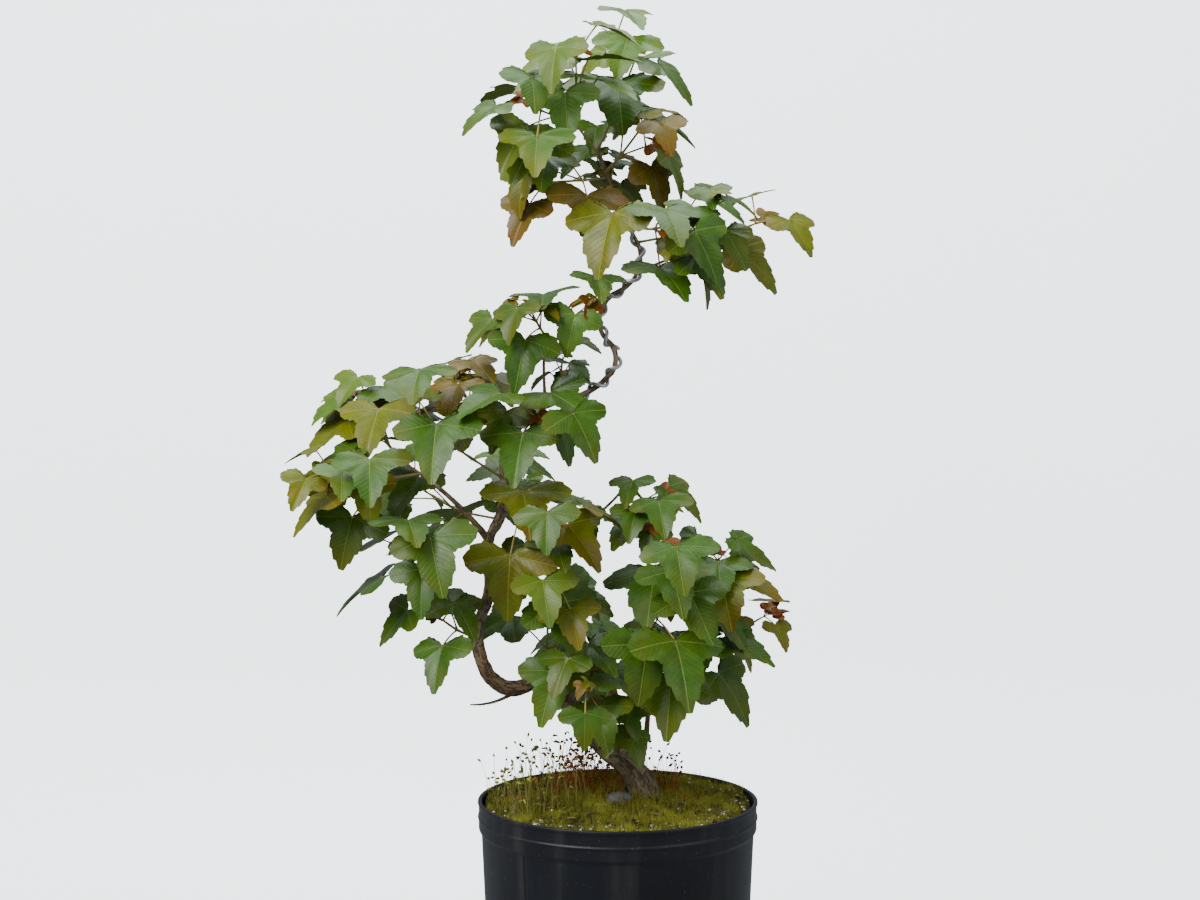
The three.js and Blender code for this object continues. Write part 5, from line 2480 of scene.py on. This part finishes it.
@dataclass
class Foliage(Assembly):
    """The shoots, leafstalks and blades, each kind and each tint joined."""

    masses: list[Growth] = field(default_factory=list)
    full: BladeMesh = BladeMesh.make(5, 0.05, (0.2, 0.42, 0.64, 0.84, 1))
    small: BladeMesh = BladeMesh.make(2, 0.02, (0.4, 0.75, 1))
    shoot: StemFinish = StemFinish("shoots", (0.3, 0.19, 0.09), (0.36, 0.36, 0.08), 0.5)
    stalk: StemFinish = StemFinish("leafstalks", (0.5, 0.2, 0.08), (0.5, 0.46, 0.1), 0.4)

    def build(self) -> None:
        """Makes the shoots and stalks, then the blades' two sides tint by tint."""
        nodes = [growth.mass.name + "_leaves" for growth in self.masses]
        for growth in self.masses:
            growth.leaves = [self.tinted(growth, k, leaf) for k, leaf in enumerate(growth.leaves)]
            for shoot in growth.shoots:
                growth.young += self.tip_leaves(growth, shoot)
        show("leaf_shoots", self.shoot_mesh(), self.shoot, nodes)
        leaves = [leaf for growth in self.masses for leaf in growth.leaves]
        young = [leaf for growth in self.masses for leaf in growth.young]
        show("leafstalks", self.stalk_mesh(leaves + young), self.stalk)
        graded = [(self.full, leaf) for leaf in leaves] + [(self.small, leaf) for leaf in young]
        for tint in Tint:
            for side, finishes in (("upper", UPPERS), ("lower", LOWERS)):
                name = f"{tint.value}_leaves_{side}"
                batch = Batch()
                for grid, leaf in graded:
                    if leaf.tint is tint:
                        self.add_blade(batch, grid, leaf, side == "upper")
                show(name, batch.mesh(name), finishes[tint])
        LOG.info("%d leaves, %d young leaves", len(leaves), len(young))

    @staticmethod
    def tinted(growth: Growth, k: int, leaf: Leaf) -> Leaf:
        """Deals a leaf its tint.

        Args:
            growth: Its mass.
            k: Its number in it.
            leaf: The leaf.

        Returns:
            The leaf with its tint.
        """
        draw = seeded_draws(growth.mass.seed, TINT_MARK + k)
        return replace(leaf, tint=growth.mass.spray.pick(draw()), roll=draw())

    @staticmethod
    def tip_leaves(growth: Growth, shoot: Shoot) -> list[Leaf]:
        """Grows the pair of young leaves at a shoot's tip.

        Args:
            growth: Its mass.
            shoot: The shoot.

        Returns:
            The young leaves.
        """
        draw = seeded_draws(growth.mass.seed, shoot.mark, YOUNG_MARK)
        tip = shoot.rings[-1][0]
        level = unit(np.cross(UP, shoot.heading))
        out = turned(level, shoot.heading, draw() * math.pi)
        pair = []
        for side in (out, -out):
            size = lerp(*YOUNG_MIDRIB, draw())
            reach = strayed(shoot.heading * 0.8 + side * 0.6 + UP * 0.2, 0.2, draw)
            face = strayed(LIGHT + side * 0.4, 0.3, draw)
            midrib = unit(reach - face * float(reach @ face))
            tint = (Tint.OLIVE, Tint.BRONZE, Tint.RUST)[int(draw() * 2.99)]
            base = tip + reach * size * 0.35
            across = unit(np.cross(midrib, face))
            pair.append(Leaf(tip, reach, base, size, face, midrib, across, tint, draw()))
        return pair

    def shoot_mesh(self) -> bpy.types.Mesh:
        """Joins the shoots.

        Returns:
            The mesh.
        """
        batch = Batch()
        steps, sides = 5, 7
        for growth in self.masses:
            for shoot in growth.shoots:
                run = smooth_run(np.array([point for point, _ in shoot.rings]), steps)
                thick = [radius for _, radius in shoot.rings]
                radii = np.interp(np.arange(len(run)), np.arange(len(thick)) * steps, thick)
                near_node = np.abs((np.arange(len(run)) + steps / 2) % steps - steps / 2)
                radii = radii * (0.85 + 0.3 * (near_node < 0.5))
                radii[-1] *= 0.35
                share = np.repeat(np.linspace(0.15 + 0.4 * shoot.order, 1, len(run)), sides)
                shade = np.concatenate((share, share[:1], share[-1:]))
                batch.add(*tube_parts(run, radii, sides), shade=shade)
        return batch.mesh("leaf_shoots")

    def stalk_mesh(self, leaves: Sequence[Leaf]) -> bpy.types.Mesh:
        """Joins the leafstalks, each arched from its shoot into its blade.

        Args:
            leaves: The leaves.

        Returns:
            The mesh.
        """
        batch = Batch()
        for leaf in leaves:
            length = float(np.linalg.norm(leaf.base - leaf.root))
            lift = leaf.root + (leaf.base - leaf.root) * 0.6 + UP * length * 0.07
            end = leaf.base + leaf.midrib * leaf.size * 0.03
            t = np.linspace(0, 1, 9)[:, None]
            run = leaf.root * (1 - t) ** 2 + lift * 2 * t * (1 - t) + end * t * t
            thick = min(0.5, 0.022 * leaf.size)
            radii = thick * (1 + 0.7 * np.exp(-t[:, 0] * 12) + 0.2 * np.exp(-(1 - t[:, 0]) * 9))
            batch.add(*tube_parts(run, radii, 6), shade=leaf.roll)
        return batch.mesh("leafstalks")

    @staticmethod
    def add_blade(batch: Batch, grid: BladeMesh, leaf: Leaf, upper: bool) -> None:
        """Adds one side of a blade, folded, drooping and quilted between its veins.

        Args:
            batch: Where it goes.
            grid: The flat grid.
            leaf: The leaf.
            upper: Whether it is the upper side.
        """
        draw = seeded_draws(int(leaf.roll * 1e6), FORM_MARK)
        slant, widen = lerp(-0.07, 0.07, draw()), lerp(0.93, 1.08, draw())
        fold = BLADE["fold"] * lerp(0.6, 1.5, draw())
        droop = BLADE["droop"] * lerp(0.8, 1.4, draw())
        wave, phase = lerp(0.006, 0.02, draw()), draw() * TAU
        out = grid.out * widen * (1 + slant * np.sign(grid.out))
        on = grid.on * (1 + slant * 0.6 * grid.out)
        away = np.hypot(out, on)
        bearing = np.abs(np.arctan2(grid.out, grid.on))
        inner = np.sin(math.pi * bearing / LOBE_ANGLE)
        between = np.where(bearing < LOBE_ANGLE, inner, np.sin((bearing - LOBE_ANGLE) * 2) * 0.6)
        rise = fold * np.abs(out) - droop * (on * on + out * out) + 0.05 * away * between
        rise += wave * np.sin(9 * np.arctan2(out, on) + phase) * grid.rim**2
        if not upper:
            rise = rise - 0.012 * (1 - grid.rim**4) - 0.003
        triangles = grid.triangles if upper else grid.triangles[:, ::-1]
        carried = np.stack((grid.out, grid.on, np.full(len(out), leaf.roll)), -1)
        batch.add(leaf.place(out, on, rise), triangles, blade=carried)


LEAF_COLOURS = {
    Tint.DEEP: ((0.06, 0.16, 0.006), (0.035, 0.1, 0.002), (0.26, 0.38, 0.04), (0.15, 0.135, 0.002)),
    Tint.MID: ((0.11, 0.24, 0.022), (0.06, 0.155, 0.008), (0.34, 0.46, 0.09), (0.2, 0.2, 0.004)),
    Tint.OLIVE: ((0.19, 0.215, 0.002), (0.1, 0.135, 0.001), (0.42, 0.42, 0.03), (0.23, 0.125, 0.002)),
    Tint.BRONZE: ((0.2, 0.14, 0.002), (0.105, 0.095, 0.001), (0.42, 0.32, 0.03), (0.25, 0.085, 0.002)),
    Tint.RUST: ((0.3, 0.105, 0.008), (0.19, 0.06, 0.004), (0.46, 0.24, 0.04), (0.34, 0.06, 0.006)),
}
UPPERS = {tint: LeafFinish(tint.value + "_leaf", *colours) for tint, colours in LEAF_COLOURS.items()}
UNDER_TONE = (0.19, 0.21, 0.02)
UNDER_SHARE = 0.35
UNDER_ROUGH = 0.6


def lower_side(finish: LeafFinish) -> LeafFinish:
    """Makes the paler, duller underside of a leaf.

    Args:
        finish: Its upper side.

    Returns:
        Its lower side.
    """

    def pale(colour: Colour) -> Colour:
        """Mixes a colour with the underside's dull green."""
        return tuple(lerp(part, dull, UNDER_SHARE) for part, dull in zip(colour, UNDER_TONE))

    colours = (finish.blade, finish.deep, finish.vein, finish.edge)
    return LeafFinish(finish.name + "_under", *map(pale, colours), UNDER_ROUGH)


LOWERS = {tint: lower_side(finish) for tint, finish in UPPERS.items()}


# The studio


@dataclass(frozen=True)
class Panel:
    """A soft square light."""

    name: str
    place: tuple[float, float, float]
    target: tuple[float, float, float]
    side: float
    power: float
    colour: Colour = (1.0, 1.0, 1.0)


@dataclass
class Studio(Assembly):
    """The camera, the pale wall and floor, and the soft lights."""

    image_width: float = 1200
    focal_px: float = 1526
    sensor_width: float = 36
    eye: tuple[float, float, float] = (-10.4, -903, 370.6)
    room_colour: Colour = (0.86, 0.93, 1.0)
    room_light: float = 0.35
    wall: WallFinish = WallFinish("pale_wall", (0.775, 0.82, 0.84), 3.0)
    panels: tuple[Panel, ...] = (
        Panel("key_light", (-850, -800, 1250), (0, 0, 380), 800, 20),
        Panel("fill_light", (900, -700, 700), (0, 0, 350), 900, 3),
        Panel("top_light", (0, 150, 1500), (0, 0, 300), 1000, 14, (0.93, 0.97, 1.0)),
    )

    def build(self) -> None:
        """Sets the camera, the backdrop and the lights."""
        self.camera()
        self.backdrop()
        for panel in self.panels:
            self.light(panel)
        world = bpy.data.worlds.new("soft_room")
        bpy.context.scene.world = world
        world.use_nodes = True
        background = world.node_tree.nodes["Background"]
        background.inputs["Color"].default_value = opaque(self.room_colour)
        background.inputs["Strength"].default_value = self.room_light

    def camera(self) -> None:
        """Stands the camera level in front of the plant."""
        lens = bpy.data.cameras.new("camera")
        lens.sensor_width = self.sensor_width
        lens.lens = self.focal_px / self.image_width * lens.sensor_width
        lens.clip_start = 0.01
        camera = linked("camera", lens)
        camera.location = Vector(self.eye) * MM
        camera.rotation_euler = (math.pi / 2, 0, 0)
        bpy.context.scene.camera = camera

    def backdrop(self) -> None:
        """Sweeps the pale floor up into the wall."""
        bm = bmesh.new()
        bend, front, back, high, wide = 200, -2400, 520, 2600, 5200
        run = [(front, 0), (back - bend, 0)]
        turns = np.linspace(0, math.pi / 2, 16)[1:]
        run += [(back - bend + bend * math.sin(a), bend - bend * math.cos(a)) for a in turns]
        run.append((back, high))
        verts = [bm.verts.new((-wide / 2 * MM, y * MM, z * MM)) for y, z in run]
        edges = [bm.edges.new(pair) for pair in zip(verts, verts[1:])]
        made = bmesh.ops.extrude_edge_only(bm, edges=edges)["geom"]
        moved = [part for part in made if isinstance(part, bmesh.types.BMVert)]
        bmesh.ops.translate(bm, verts=moved, vec=(wide * MM, 0, 0))
        sweep = linked("studio_sweep", as_mesh("studio_sweep", bm))
        sweep.data.materials.append(self.wall.material())
        sweep.visible_diffuse = False
        sweep.visible_glossy = False
        sweep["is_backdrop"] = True

    @staticmethod
    def light(panel: Panel) -> None:
        """Hangs one soft light.

        Args:
            panel: The light.
        """
        lamp = bpy.data.lights.new(panel.name, "AREA")
        lamp.shape = "SQUARE"
        lamp.size = panel.side * MM
        lamp.energy = panel.power
        lamp.color = panel.colour
        hung = linked(panel.name, lamp)
        hung.location = Vector(panel.place) * MM
        aim = Vector(panel.target) - Vector(panel.place)
        hung.rotation_euler = aim.to_track_quat("-Z", "Y").to_euler()


def main() -> None:
    """Grows the tree and makes every piece of the plant and of the studio."""
    logging.basicConfig(level=logging.INFO, format="%(name)s: %(message)s")
    limbs, masses = grow_tree()
    Pot().build()
    Ground().build()
    Wood(limbs=limbs).build()
    TrainingWire(trunk=limbs["trunk"]).build()
    Foliage(masses=masses).build()
    Studio().build()
    boxes = {"cad": CAD_BOX, "visual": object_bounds()}
    plain = {name: [[float(part) for part in corner] for corner in box] for name, box in boxes.items()}


if __name__ == "__main__":
    main()
